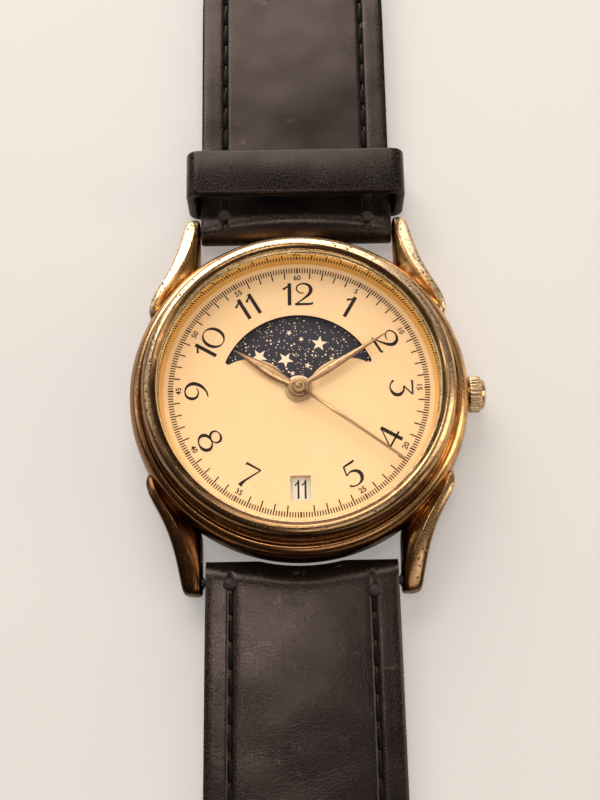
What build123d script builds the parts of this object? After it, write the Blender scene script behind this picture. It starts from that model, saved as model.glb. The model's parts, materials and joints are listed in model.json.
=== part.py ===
from build123d import *
from math import cos, radians, sin
import os

# A moon phase wristwatch, laid open on its strap. Millimetres. The origin is the middle of the case back's
# flat outer face, +Z runs out of the dial, +Y to 12 o'clock and +X to the crown.

os.makedirs("parts", exist_ok=True)

# Fits that many pieces share
running_gap = 0.02
sliding_gap = 0.05
wide_gap = 0.1
overrun = 1.0

# Rounds that are drawn as even prisms: small ones, middling ones and those as wide as the case
fine_sides = 12
middle_sides = 24
broad_sides = 36

# Case middle
case_r = 16.9
shoulder_inset = 0.6
shoulder_r = case_r - shoulder_inset
bezel_inset = 1.45
bezel_r = case_r - bezel_inset
groove_w = 0.4
groove_outer_r = bezel_r + groove_w
case_foot_z = 0.3
flank_low_z = 2.6
flank_high_z = 4.3
shoulder_z = 5.85
groove_z = 5.6
bezel_seat_z = 6.1
bezel_skirt_w = 0.55
neck_r = bezel_r - bezel_skirt_w
neck_top_z = 7.0
neck_wall = 0.6
case_bore_r = neck_r - neck_wall

# Lugs: their outer edge is a scroll that starts on the flank and runs out to the tip
lug_width = 20.0
bar_offset = 1.7
bar_y = case_r + bar_offset
lug_tip_margin = 1.2
lug_reach = bar_y + lug_tip_margin
lug_head_w = 4.8833
lug_head_x = lug_width / 2 + lug_head_w
lug_head_inset = 7.6
lug_head_y = case_r - lug_head_inset
lug_neck_w = 4.0
lug_neck_x = lug_width / 2 + lug_neck_w
lug_neck_inset = 5.5
lug_neck_y = case_r - lug_neck_inset
lug_waist_w = 2.55
lug_waist_x = lug_width / 2 + lug_waist_w
lug_waist_inset = 2.1
lug_waist_y = case_r - lug_waist_inset
lug_end_w = 1.5
lug_end_x = lug_width / 2 + lug_end_w
lug_end_margin = 0.1
lug_end_y = bar_y + lug_end_margin
lug_tip_w = 0.75
lug_tip_x = lug_width / 2 + lug_tip_w
lug_root_w = 3.0
lug_root_x = lug_width / 2 + lug_root_w
lug_root_inset = 9.3
lug_root_y = case_r - lug_root_inset
lug_crotch_inset = 4.3
lug_crotch_y = case_r - lug_crotch_inset
lug_top_z = 5.75
lug_shoulder_inset = 2.3
lug_shoulder_y = case_r - lug_shoulder_inset
lug_shoulder_z = 4.95
lug_tip_top_z = 3.3
lug_tip_low_z = 0.85
lug_tail_low_z = 1.9
lug_belly_inset = 3.4
lug_belly_y = case_r - lug_belly_inset
lug_belly_z = 0.95
lug_bevel = 0.45

# Spring bars
bar_z = 2.5
bar_r = 0.75
bar_bore_r = 0.45
bar_inset = 1.4
bar_half = lug_width / 2 - bar_inset
tip_shaft_r = 0.4
tip_shaft_length = 2.1
tip_shaft_half = bar_half - tip_shaft_length
tip_flange_inset = 0.5
tip_flange_x = lug_width / 2 - tip_flange_inset
tip_flange_r = 0.62
tip_flange_t = 0.25
tip_pin_r = 0.35
tip_pin_length = 0.9
tip_pin_x = lug_width / 2 + tip_pin_length
lug_hole_r = 0.4
lug_hole_depth = 1.0
lug_hole_x = lug_width / 2 + lug_hole_depth
spring_bore_r = 0.28

# Case back and its gasket
back_inset = 1.8
back_r = case_r - back_inset
back_flange_t = 0.8
back_slope_w = 1.7
back_face_r = back_r - back_slope_w
back_edge_z = 0.3
back_floor_z = 0.55
back_rim_gap = 0.1
back_rim_outer_r = case_bore_r - back_rim_gap
back_rim_wall = 0.7
back_rim_inner_r = back_rim_outer_r - back_rim_wall
back_rim_z = 1.45
gasket_inset = 0.22
gasket_outer_r = back_r - gasket_inset
gasket_z = 1.2
back_notch_w = 2.4
back_notch_d = 0.5

# Bezel, crystal and the wall round the dial
crystal_inset = 1.9
crystal_r = bezel_r - crystal_inset
crystal_gasket_w = 0.23
bezel_bore_r = crystal_r + crystal_gasket_w
bezel_top_z = 8.5
bezel_rim_z = 8.28
bezel_crest_shares = (0.28, 0.68)
bezel_shoulder_inset = 0.17
bezel_shoulder_r = bezel_r - bezel_shoulder_inset
bezel_shoulder_z = 7.75
bezel_foot_z = 6.15
crystal_low_z = 7.6
crystal_top_z = 8.8
crystal_bevel = 0.3
crystal_gasket_top_z = 8.2
flange_lip = 0.25
flange_bore_r = crystal_r - flange_lip
flange_gap = 0.05
flange_foot_r = case_bore_r - flange_gap
flange_foot_t = 1.3
flange_neck_gap = 0.03
flange_neck_r = bezel_bore_r - flange_neck_gap

# Dial
dial_gap = 0.1
dial_r = case_bore_r - dial_gap
dial_low_z = 4.85
dial_top_z = 5.3
dial_hole_r = 1.0
moon_window_r = 7.85
moon_hump_x = 4.8
moon_hump_y = 0.95
moon_hump_r = 4.2
moon_collar_r = 1.45
moon_tip_r = 0.28
date_window_w = 1.96
date_window_h = 2.5
date_window_y = 10.0

# Hands: each points along its angle, clockwise from 12
hour_angle = -57.5
hour_length = 7.4
hour_width = 1.05
hour_root_w = 0.62
hour_boss_r = 1.1
minute_angle = 57.6
minute_length = 10.6
minute_width = 0.7
minute_root_w = 0.46
minute_boss_r = 0.9
seconds_angle = 126.7
seconds_length = 12.6
seconds_root_w = 0.22
seconds_tip_w = 0.12
seconds_boss_r = 0.65
hand_tip_w = 0.05
hand_t = 0.2
hand_edge_t = 0.08
hour_root_share = 0.1
minute_root_share = 0.05
hour_belly_share = 0.42
minute_belly_share = 0.36
hour_hand_z = 5.65
minute_hand_z = 5.98
seconds_hand_z = 6.31
seconds_pin_r = 0.25
seconds_pin_t = 0.22

# Movement: the plates
movement_room = 0.7
plate_r = back_rim_inner_r - movement_room
plate_low_z = 1.5
plate_top_z = 3.95
plate_step_r = 9.9
plate_step_z = 4.46
plate_wall_r = 11.65
pocket_ceiling_z = 3.15
dial_pocket_z = 3.35
bridge_inset = 0.6
bridge_r = plate_r - bridge_inset
bridge_t = 0.3
board_edge_y = 6.4
bridge_edge_y = 6.2
bay_x = 2.8
bay_y = 1.7
holder_gap = 0.05
holder_r = case_bore_r - holder_gap
pivot_r = 0.12
pivot_low_z = 1.3
pivot_top_z = 3.3

# Going train, from the rotor to the centre: tooth counts, modules and levels
tooth_rise_share = 0.8
seconds_teeth = 40
seconds_module = 0.13
fifth_pinion_teeth = 8
fifth_teeth = 36
fifth_module = 0.1
rotor_teeth = 6
third_teeth = 60
third_module = 0.09
seconds_pinion_teeth = 8
centre_teeth = 64
third_pinion_teeth = 8
wheel_t = 0.15
pinion_t = 0.27
seconds_wheel_z = 1.65
fifth_wheel_z = 1.95
third_wheel_z = 2.2
centre_wheel_z = 2.6
fifth_direction = 100.0
rotor_direction = 80.0
third_direction = -70.0
seconds_arbor_r = 0.11
centre_pipe_r = 0.3
centre_pipe_top_z = 5.2
rotor_magnet_r = 0.6
rotor_magnet_t = 0.5
rotor_magnet_z = 2.25

# Motion work and calendar
cannon_teeth = 12
minute_teeth = 36
motion_module = 0.1
minute_pinion_teeth = 8
hour_teeth = 32
driver_teeth = 64
setting_teeth = 18
motion_wheel_z = 3.45
hour_wheel_z = 4.0
cannon_pipe_r = 0.45
hour_pipe_r = 0.7
post_r = 0.22
post_top_z = 4.2
driver_direction = 135.0
driver_hub_r = 0.8
date_finger_length = 3.44
date_finger_angle = 120.0
date_finger_z = 4.18
moon_finger_length = 2.86
moon_finger_angle = 60.0
moon_finger_z = 4.33
finger_w = 0.5
finger_t = 0.12
date_ring_r = 11.6
date_ring_bore_r = 8.75
date_ring_z = 4.48
date_ring_t = 0.24
date_teeth = 31
date_tooth_tip_r = 8.95
date_tooth_root_r = 9.4
date_band_r = 9.8
moon_disc_r = 8.3
moon_disc_z = 4.48
moon_disc_t = 0.18
moon_teeth = 59
moon_star_r = 3.05
moon_star_root_r = 2.83
jumper_w = 0.3
jumper_anchor_r = 0.5
date_jumper_direction = 250.0
date_jumper_sweep = 34.0
moon_jumper_direction = 300.0
moon_jumper_reach = 3.2

# Electric parts
magnet_gap = 0.25
stator_z = 2.35
stator_t = 0.3
stator_lobe_r = 1.6
stator_arm_w = 1.3
coil_y = 8.9
coil_core_half = 5.5
coil_core_w = 1.2
coil_core_t = 0.25
coil_half = 3.7
coil_w = 2.2
coil_t = 1.4
coil_round = 0.5
coil_bay_half = 6.0
coil_bay_low_y = 3.4
coil_bay_high_y = 10.6
can_r = 0.75
can_length = 5.0
can_x = 2.5
can_y = 9.2
can_bay_margin = 0.3
battery_x = -7.2
battery_y = -3.9
battery_r = 3.95
battery_low_z = 1.25
battery_t = 2.1
battery_cap_r = 3.2
battery_step = 0.25
battery_bay_gap = 0.15
clamp_w = 1.4
clamp_t = 0.18
clamp_foot = 1.0
clamp_reach = 0.45
screw_head_r = 0.6
screw_head_t = 0.2
screw_shank_r = 0.25
screw_length = 1.3
screw_places = [(9.0, 6.0), (-8.6, 6.5), (6.5, -5.2), (-2.0, -10.4), (8.1, -8.1)]

# Winding stem, crown and the setting levers
stem_z = 2.9
stem_r = 0.45
stem_inner_x = 5.4
stem_pivot_r = 0.3
stem_square_x = 9.4
stem_square_w = 0.6
stem_groove_x = 10.3
stem_groove_w = 0.45
stem_groove_r = 0.25
crown_gap = 0.15
crown_x = case_r + crown_gap
crown_r = 1.85
crown_core_r = 1.7
crown_grip = 1.1
crown_cap_r = 1.5
crown_length = 1.65
crown_ridges = 26
crown_recess_r = 1.3
crown_recess = 0.75
crown_pull = 0.8
tube_r = 1.0
tube_bore_r = 0.6
tube_seat = 0.2
tube_inner_x = case_bore_r + tube_seat
tube_reach = 0.65
seal_t = 0.32
seal_r = 1.27
pinion_x = 6.75
pinion_length = 1.6
pinion_r = 0.75
pinion_groove_r = 0.55
pinion_tooth_r = 0.62
pinion_teeth = 12
pinion_groove_w = 0.45
pinion_travel_share = 0.75
keyless_half = 3.0
keyless_ceiling_z = 3.4
pinion_ceiling_z = 3.75
lever_z = 1.85
lever_t = 0.2
lever_w = 0.7
lever_arm = 2.2
lever_nose_r = 0.15
yoke_arm = 2.4

# Strap
strap_gap = 0.1
strap_end_w = 18.0
strap_t = 2.3
lining_t = 1.0
roll_r = 1.5
roll_bore_r = 0.8
fold_length = 3.4
ramp_length = 5.6
buckle_y = 90.0
short_wide_y = 45.0
short_narrow_y = 82.0
long_wide_y = 24.0
long_narrow_y = 92.0
long_end_y = 130.0
strap_tip_r = 7.0
floor_y = 45.0
hole_r = 0.85
hole_first_y = 84.0
hole_pitch = 6.5
hole_count = 7
slot_w = 2.4
slot_length = 3.2

# Keepers
keeper_w = 5.0
keeper_t = 1.1
keeper_low_t = 0.9
keeper_room = 4.6
keeper_side_gap = 0.45
keeper_round = 1.0
floating_offset = 5.0
floating_y = bar_y + floating_offset
fixed_y = 81.5
floor_gap = 0.04

# Buckle
buckle_wall = 1.5
buckle_bar_r = 0.75
ear_r = 1.25
ear_gap = 0.15
frame_front_y = 101.5
frame_bar_w = 3.2
frame_top_z = 2.3
frame_corner_r = 2.6
frame_low_y = 97.0
tongue_w = 1.8
tongue_t = 0.8
tongue_r = 1.4
tongue_tip_y = 102.3
tongue_tip_t = 0.55


def save(piece, name):
    """Labels a finished piece and writes it as its own file."""
    piece.part.label = name
    export_step(piece.part, f"parts/{name}.step")


def around(angle, radius, centre=(0, 0)):
    """The point at a compass angle (counter-clockwise from +X) and radius from a centre."""
    return (
        centre[0] + radius * cos(radians(angle)),
        centre[1] + radius * sin(radians(angle)),
    )


def turned(outline):
    """Adds a body of revolution about Z from its outline of (radius, height) corners."""
    with BuildSketch(Plane.XZ) as section:
        with BuildLine():
            Polyline(*outline, close=True)
        make_face()
    revolve(section.sketch, axis=Axis.Z)


def tooth_points(teeth, root_r, tip_r, phase, centre):
    """A zigzag outline of teeth, with one tip at the phase angle."""
    step = 360 / teeth
    points = []
    for tooth in range(teeth):
        points.append(around(phase + tooth * step, tip_r, centre))
        points.append(around(phase + (tooth + 0.5) * step, root_r, centre))
    return points


def toothed_disc(teeth, module, phase, centre, low_z, thickness):
    """Adds a toothed disc to the piece being built."""
    pitch_r = teeth * module / 2
    points = tooth_points(teeth, pitch_r - module, pitch_r + module * tooth_rise_share, phase, centre)
    with BuildSketch(Plane.XY.offset(low_z)) as outline:
        with BuildLine():
            Polyline(*points, close=True)
        make_face()
    extrude(outline.sketch, amount=thickness)


def post(radius, centre, low_z, high_z, mode=Mode.ADD, sides=fine_sides):
    """Adds an upright cylinder or prism to the piece being built, or cuts one from it."""
    with BuildSketch(Plane.XY.offset(low_z)) as outline:
        with Locations(centre):
            if sides:
                RegularPolygon(radius, sides)
            else:
                Circle(radius)
    extrude(outline.sketch, amount=high_z - low_z, mode=mode)


def tube(outer_r, inner_r, low_z, high_z):
    """A plain ring round the case's axis, standing on a height."""
    with BuildPart() as ring:
        post(outer_r, (0, 0), low_z, high_z, sides=broad_sides)
        post(inner_r, (0, 0), low_z, high_z, mode=Mode.SUBTRACT, sides=broad_sides)
    return ring


def block(low, high, mode=Mode.ADD):
    """Adds a box between two corners to the piece being built, or cuts one from it."""
    size = [high[i] - low[i] for i in range(3)]
    with Locations(tuple(low[i] + size[i] / 2 for i in range(3))):
        Box(*size, mode=mode)


def rod(radius, low_x, high_x, y=0, z=stem_z, mode=Mode.ADD, sides=fine_sides):
    """Adds a cylinder or prism along X to the piece being built, or cuts one from it."""
    with BuildSketch(Plane(origin=(low_x, y, z), x_dir=(0, 1, 0), z_dir=(1, 0, 0))) as outline:
        if sides:
            RegularPolygon(radius, sides)
        else:
            Circle(radius)
    extrude(outline.sketch, amount=high_x - low_x, mode=mode)


def mesh_phase(phase, teeth, direction, other_teeth):
    """The phase with which a second wheel's gap meets a first wheel's tooth along a direction."""
    share = ((direction - phase) / (360 / teeth)) % 1
    return direction + 180 + (share + 0.5) * 360 / other_teeth


# Wheel centres, worked out from the meshing pairs

fifth_at = around(fifth_direction, (seconds_teeth + fifth_pinion_teeth) * seconds_module / 2)
rotor_at = around(rotor_direction, (fifth_teeth + rotor_teeth) * fifth_module / 2, fifth_at)
third_distance = (third_teeth + seconds_pinion_teeth) * third_module / 2
third_at = around(third_direction, third_distance)
centre_module = third_distance * 2 / (centre_teeth + third_pinion_teeth)
minute_distance = (cannon_teeth + minute_teeth) * motion_module / 2
minute_at = (minute_distance, 0)
calendar_module = minute_distance * 2 / (hour_teeth + minute_pinion_teeth)
driver_distance = (hour_teeth + driver_teeth) * calendar_module / 2
driver_at = around(driver_direction, driver_distance)
setting_at = (minute_distance + (minute_teeth + setting_teeth) * motion_module / 2, 0)
yoke_at = (pinion_x + pinion_length / 2, yoke_arm)
lever_at = (stem_groove_x, -lever_arm)


# Case middle with its four lugs

with BuildPart() as lug:
    with BuildSketch():
        with BuildLine():
            ThreePointArc(
                (lug_root_x, lug_root_y),
                (lug_head_x, lug_head_y),
                (lug_neck_x, lug_neck_y),
            )
            ThreePointArc(
                (lug_neck_x, lug_neck_y),
                (lug_waist_x, lug_waist_y),
                (lug_end_x, lug_end_y),
            )
            Polyline(
                (lug_end_x, lug_end_y),
                (lug_tip_x, lug_reach),
                (lug_width / 2, lug_reach),
                (lug_width / 2, lug_crotch_y),
                (lug_root_x, lug_root_y),
            )
        make_face()
    extrude(amount=lug_top_z)
    with BuildSketch(Plane.YZ):
        with BuildLine():
            Polyline(
                (lug_root_y, lug_top_z),
                (lug_shoulder_y, lug_shoulder_z),
                (lug_reach, lug_tip_top_z),
                (lug_reach, lug_tip_low_z),
                (lug_belly_y, lug_belly_z),
                (lug_root_y, lug_tail_low_z),
                close=True,
            )
        make_face()
    extrude(amount=case_r + overrun, mode=Mode.INTERSECT)
    upper = lug.edges().filter_by(lambda edge: edge.center().Z > lug_tip_top_z)
    chamfer(upper.filter_by(GeomType.ELLIPSE), lug_bevel)
    rod(lug_hole_r, lug_width / 2, lug_hole_x, y=bar_y, z=bar_z, mode=Mode.SUBTRACT)

with BuildPart() as lug_pair:
    add(lug.part)
    mirror(about=Plane.XZ)

with BuildPart() as case_middle:
    turned(
        [
            (0, back_flange_t),
            (back_r + sliding_gap, back_flange_t),
            (back_r + sliding_gap, case_foot_z),
            (case_r, flank_low_z),
            (case_r, flank_high_z),
            (shoulder_r, shoulder_z),
            ((groove_outer_r + bezel_r) / 2, groove_z),
            (bezel_r, bezel_seat_z),
            (0, bezel_seat_z),
        ]
    )
    post(neck_r, (0, 0), bezel_seat_z, neck_top_z, sides=broad_sides)
    post(case_bore_r, (0, 0), back_flange_t, neck_top_z, mode=Mode.SUBTRACT, sides=broad_sides)
    post(gasket_outer_r, (0, 0), back_flange_t, gasket_z, mode=Mode.SUBTRACT, sides=broad_sides)
    add(lug_pair.part)
    mirror(lug_pair.part, about=Plane.YZ)
    rod(tube_r, case_bore_r - overrun, case_r + overrun, mode=Mode.SUBTRACT)
save(case_middle, "case_middle")


# Case back, its gasket, the bezel, the crystal and the wall round the dial

with BuildPart() as case_back:
    turned([(0, 0), (back_face_r, 0), (back_r, back_edge_z), (back_r, back_flange_t), (0, back_flange_t)])
    post(back_rim_outer_r, (0, 0), back_flange_t, back_rim_z, sides=broad_sides)
    post(back_rim_inner_r, (0, 0), back_floor_z, back_rim_z, mode=Mode.SUBTRACT, sides=broad_sides)
    with Locations((0, back_r, back_edge_z)):
        Box(back_notch_w, back_notch_d, back_edge_z, mode=Mode.SUBTRACT)
save(case_back, "case_back")

save(tube(gasket_outer_r, back_rim_outer_r, back_flange_t, gasket_z), "case_back_gasket")

bezel_w = bezel_shoulder_r - bezel_bore_r
crest_low_r, crest_high_r = [bezel_bore_r + bezel_w * share for share in bezel_crest_shares]
bezel_ledge_z = neck_top_z + running_gap
with BuildPart() as bezel:
    turned(
        [
            (bezel_bore_r, bezel_rim_z),
            (crest_low_r, bezel_top_z),
            (crest_high_r, bezel_top_z),
            (bezel_shoulder_r, bezel_shoulder_z),
            (bezel_r, bezel_foot_z),
            (bezel_bore_r, bezel_foot_z),
        ]
    )
    neck_room_r = neck_r + running_gap
    post(neck_room_r, (0, 0), bezel_foot_z, bezel_ledge_z, mode=Mode.SUBTRACT, sides=broad_sides)
save(bezel, "bezel")

with BuildPart() as crystal:
    post(crystal_r, (0, 0), crystal_low_z, crystal_top_z, sides=0)
    chamfer(crystal.edges().sort_by(Axis.Z)[-1], crystal_bevel)
save(crystal, "crystal")

crystal_hold_r = crystal_r / cos(radians(180 / broad_sides))
save(tube(bezel_bore_r, crystal_hold_r, crystal_low_z, crystal_gasket_top_z), "crystal_gasket")

with BuildPart() as dial_flange:
    post(flange_foot_r, (0, 0), dial_top_z, dial_top_z + flange_foot_t, sides=broad_sides)
    post(flange_neck_r, (0, 0), dial_top_z, crystal_low_z, sides=broad_sides)
    post(flange_bore_r, (0, 0), dial_top_z, crystal_low_z, mode=Mode.SUBTRACT, sides=0)
save(dial_flange, "dial_flange")


# Dial with the moon's window, two humps wide, and the date window

with BuildSketch(Plane.XY.offset(dial_low_z)) as moon_window:
    Circle(moon_window_r)
    with Locations((moon_hump_x, -moon_hump_y), (-moon_hump_x, -moon_hump_y)):
        Circle(moon_hump_r, mode=Mode.SUBTRACT)
    Circle(moon_collar_r, mode=Mode.SUBTRACT)
    with Locations((0, -moon_hump_y)):
        Rectangle(moon_window_r * 2, moon_window_r, align=(Align.CENTER, Align.MAX), mode=Mode.SUBTRACT)
    tips = moon_window.vertices().sort_by(Axis.X)
    fillet([tips[0], tips[-1]], moon_tip_r)

with BuildPart() as dial:
    with BuildSketch(Plane.XY.offset(dial_low_z)):
        RegularPolygon(dial_r, broad_sides)
        RegularPolygon(dial_hole_r, fine_sides, mode=Mode.SUBTRACT)
        with Locations((0, -date_window_y)):
            Rectangle(date_window_w, date_window_h, mode=Mode.SUBTRACT)
    extrude(amount=dial_top_z - dial_low_z)
    extrude(moon_window.sketch, amount=dial_top_z - dial_low_z, mode=Mode.SUBTRACT)
save(dial, "dial")


# Hands, faceted along a ridge

def hand_section(angle, reach, width, low_z):
    """Draws the hand's five-sided section square to its length, at a distance from the centre."""
    out = (sin(radians(angle)), cos(radians(angle)))
    across = Plane(
        origin=(out[0] * reach, out[1] * reach, low_z),
        x_dir=(-out[1], out[0], 0),
        z_dir=(out[0], out[1], 0),
    )
    with BuildSketch(across) as section:
        with BuildLine():
            Polyline(
                (-width / 2, 0),
                (width / 2, 0),
                (width / 2, hand_edge_t),
                (0, hand_t),
                (-width / 2, hand_edge_t),
                close=True,
            )
        make_face()
    return section.sketch


def hand(angle, stations, low_z, boss_r, bore_r):
    """A hand through its (reach, width) stations, with a round boss bored for its pipe."""
    with BuildPart() as blade:
        loft([hand_section(angle, reach, width, low_z) for reach, width in stations], ruled=True)
        post(boss_r, (0, 0), low_z, low_z + hand_t, sides=middle_sides)
        if bore_r:
            post(bore_r, (0, 0), low_z, low_z + hand_t, mode=Mode.SUBTRACT)
    return blade


hour_hand = hand(
    hour_angle,
    [
        (hour_length * hour_root_share, hour_root_w),
        (hour_length * hour_belly_share, hour_width),
        (hour_length, hand_tip_w),
    ],
    hour_hand_z,
    hour_boss_r,
    hour_pipe_r,
)
save(hour_hand, "hour_hand")

minute_hand = hand(
    minute_angle,
    [
        (minute_length * minute_root_share, minute_root_w),
        (minute_length * minute_belly_share, minute_width),
        (minute_length, hand_tip_w),
    ],
    minute_hand_z,
    minute_boss_r,
    cannon_pipe_r,
)
save(minute_hand, "minute_hand")

seconds_stations = [(seconds_arbor_r * 2, seconds_root_w), (seconds_length, seconds_tip_w)]
with BuildPart() as seconds_hand:
    loft(
        [hand_section(seconds_angle, reach, width, seconds_hand_z) for reach, width in seconds_stations],
        ruled=True,
    )
    post(seconds_boss_r, (0, 0), seconds_hand_z, seconds_hand_z + hand_t, sides=middle_sides)
    post(seconds_pin_r, (0, 0), seconds_hand_z + hand_t, seconds_hand_z + hand_t + seconds_pin_t)
    post(seconds_arbor_r, (0, 0), seconds_hand_z, seconds_hand_z + hand_t, mode=Mode.SUBTRACT)
save(seconds_hand, "seconds_hand")


# Going train: each wheel turns with its pinion on one arbor

fifth_pinion_phase = mesh_phase(0, seconds_teeth, fifth_direction, fifth_pinion_teeth)
rotor_phase = mesh_phase(0, fifth_teeth, rotor_direction, rotor_teeth)
third_phase = mesh_phase(0, seconds_pinion_teeth, third_direction, third_teeth)
centre_phase = mesh_phase(0, third_pinion_teeth, third_direction + 180, centre_teeth)
level_gap = (pinion_t - wheel_t) / 2

with BuildPart() as seconds_wheel:
    toothed_disc(seconds_teeth, seconds_module, 0, (0, 0), seconds_wheel_z, wheel_t)
    toothed_disc(seconds_pinion_teeth, third_module, 0, (0, 0), third_wheel_z - level_gap, pinion_t)
    post(seconds_arbor_r, (0, 0), pivot_low_z, seconds_hand_z + hand_t)
save(seconds_wheel, "seconds_wheel")

with BuildPart() as fifth_wheel:
    toothed_disc(fifth_teeth, fifth_module, 0, fifth_at, fifth_wheel_z, wheel_t)
    toothed_disc(
        fifth_pinion_teeth,
        seconds_module,
        fifth_pinion_phase,
        fifth_at,
        seconds_wheel_z - level_gap,
        pinion_t,
    )
    post(pivot_r, fifth_at, pivot_low_z, pivot_top_z)
save(fifth_wheel, "fifth_wheel")

with BuildPart() as rotor:
    toothed_disc(rotor_teeth, fifth_module, rotor_phase, rotor_at, fifth_wheel_z - level_gap, pinion_t)
    post(rotor_magnet_r, rotor_at, rotor_magnet_z, rotor_magnet_z + rotor_magnet_t)
    post(pivot_r, rotor_at, pivot_low_z, pivot_top_z)
save(rotor, "rotor")

with BuildPart() as third_wheel:
    toothed_disc(third_teeth, third_module, third_phase, third_at, third_wheel_z, wheel_t)
    toothed_disc(third_pinion_teeth, centre_module, 0, third_at, centre_wheel_z - level_gap, pinion_t)
    post(pivot_r, third_at, pivot_low_z, pivot_top_z)
save(third_wheel, "third_wheel")

with BuildPart() as centre_wheel:
    toothed_disc(centre_teeth, centre_module, centre_phase, (0, 0), centre_wheel_z, wheel_t)
    post(centre_pipe_r, (0, 0), centre_wheel_z, centre_pipe_top_z)
    post(seconds_arbor_r + running_gap, (0, 0), centre_wheel_z, centre_pipe_top_z, mode=Mode.SUBTRACT)
save(centre_wheel, "centre_wheel")


# Motion work: cannon pinion, minute wheel, hour wheel, and the setting wheel that the crown turns

minute_phase = mesh_phase(0, cannon_teeth, 0, minute_teeth)
hour_phase = mesh_phase(0, minute_pinion_teeth, 180, hour_teeth)
driver_phase = mesh_phase(hour_phase, hour_teeth, driver_direction, driver_teeth)
setting_phase = mesh_phase(minute_phase, minute_teeth, 0, setting_teeth)

with BuildPart() as cannon_pinion:
    toothed_disc(cannon_teeth, motion_module, 0, (0, 0), motion_wheel_z - level_gap, pinion_t)
    post(cannon_pipe_r, (0, 0), motion_wheel_z, minute_hand_z + hand_t)
    post(
        centre_pipe_r + running_gap,
        (0, 0),
        motion_wheel_z - level_gap,
        minute_hand_z + hand_t,
        mode=Mode.SUBTRACT,
    )
save(cannon_pinion, "cannon_pinion")

with BuildPart() as minute_wheel:
    toothed_disc(minute_teeth, motion_module, minute_phase, minute_at, motion_wheel_z, wheel_t)
    toothed_disc(
        minute_pinion_teeth,
        calendar_module,
        0,
        minute_at,
        motion_wheel_z + wheel_t,
        hour_wheel_z - motion_wheel_z,
    )
    post(post_r + running_gap, minute_at, motion_wheel_z, hour_wheel_z + wheel_t, mode=Mode.SUBTRACT)
save(minute_wheel, "minute_wheel")

with BuildPart() as hour_wheel:
    toothed_disc(hour_teeth, calendar_module, hour_phase, (0, 0), hour_wheel_z, wheel_t)
    post(hour_pipe_r, (0, 0), hour_wheel_z, hour_hand_z + hand_t)
    post(cannon_pipe_r + running_gap, (0, 0), hour_wheel_z, hour_hand_z + hand_t, mode=Mode.SUBTRACT)
save(hour_wheel, "hour_wheel")

with BuildPart() as setting_wheel:
    toothed_disc(setting_teeth, motion_module, setting_phase, setting_at, motion_wheel_z, wheel_t)
    post(post_r + running_gap, setting_at, motion_wheel_z, motion_wheel_z + wheel_t, mode=Mode.SUBTRACT)
save(setting_wheel, "setting_wheel")


# Calendar: the driver turns once a day, and its two fingers move the date ring and the moon disc on

def finger(angle, length, low_z):
    """Adds a bar from the driver's axis, at an angle from the line that runs out from the centre."""
    turn = driver_direction + angle
    middle = around(turn, length / 2, driver_at)
    with BuildSketch(Plane.XY.offset(low_z)) as outline:
        with Locations(middle):
            Rectangle(length, finger_w, rotation=turn)
    extrude(outline.sketch, amount=finger_t)


finger_top_z = moon_finger_z + finger_t
with BuildPart() as date_driver:
    toothed_disc(driver_teeth, calendar_module, driver_phase, driver_at, hour_wheel_z, wheel_t)
    post(driver_hub_r, driver_at, hour_wheel_z, finger_top_z)
    finger(date_finger_angle, date_finger_length, date_finger_z)
    finger(moon_finger_angle, moon_finger_length, moon_finger_z)
    post(post_r + running_gap, driver_at, hour_wheel_z, finger_top_z, mode=Mode.SUBTRACT)
save(date_driver, "date_driver")

with BuildPart() as date_ring:
    with BuildSketch(Plane.XY.offset(date_ring_z)):
        RegularPolygon(date_ring_r, broad_sides)
        RegularPolygon(date_ring_bore_r, broad_sides, mode=Mode.SUBTRACT)
    extrude(amount=date_ring_t)
    with BuildSketch(Plane.XY.offset(date_finger_z)):
        RegularPolygon(date_band_r, broad_sides)
        with BuildLine():
            Polyline(*tooth_points(date_teeth, date_tooth_tip_r, date_tooth_root_r, 0, (0, 0)), close=True)
        make_face(mode=Mode.SUBTRACT)
    extrude(amount=date_ring_z - date_finger_z)
save(date_ring, "date_ring")

with BuildPart() as moon_disc:
    post(moon_disc_r, (0, 0), moon_disc_z, moon_disc_z + moon_disc_t, sides=broad_sides)
    with BuildSketch(Plane.XY.offset(moon_finger_z)):
        with BuildLine():
            Polyline(*tooth_points(moon_teeth, moon_star_root_r, moon_star_r, 0, (0, 0)), close=True)
        make_face()
    extrude(amount=moon_disc_z - moon_finger_z)
    post(hour_pipe_r + sliding_gap, (0, 0), moon_finger_z, moon_disc_z + moon_disc_t, mode=Mode.SUBTRACT)
save(moon_disc, "moon_disc")


def gap_near(direction, teeth):
    """The middle of the tooth gap nearest a direction, on a wheel with a tip at angle 0."""
    step = 360 / teeth
    return (round(direction / step - 0.5) + 0.5) * step


date_beak = gap_near(date_jumper_direction, date_teeth)
date_spring_r = date_tooth_tip_r - jumper_w * 2
with BuildPart() as date_jumper:
    with BuildSketch(Plane.XY.offset(date_finger_z)):
        with BuildLine():
            CenterArc((0, 0), date_spring_r, date_beak, date_jumper_sweep)
            Line(
                around(date_beak + date_jumper_sweep, date_spring_r),
                around(date_beak + date_jumper_sweep, date_spring_r + jumper_w),
            )
            CenterArc((0, 0), date_spring_r + jumper_w, date_beak, date_jumper_sweep)
            Polyline(
                around(date_beak, date_spring_r + jumper_w),
                around(date_beak, date_tooth_root_r - jumper_w / 2),
                around(date_beak - 360 / date_teeth / 3, date_spring_r + jumper_w),
                around(date_beak, date_spring_r),
            )
        make_face()
    extrude(amount=finger_t)
    post(
        jumper_anchor_r,
        around(date_beak + date_jumper_sweep, date_spring_r + jumper_w - jumper_anchor_r),
        plate_top_z,
        date_finger_z + finger_t,
    )
save(date_jumper, "date_jumper")

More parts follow.
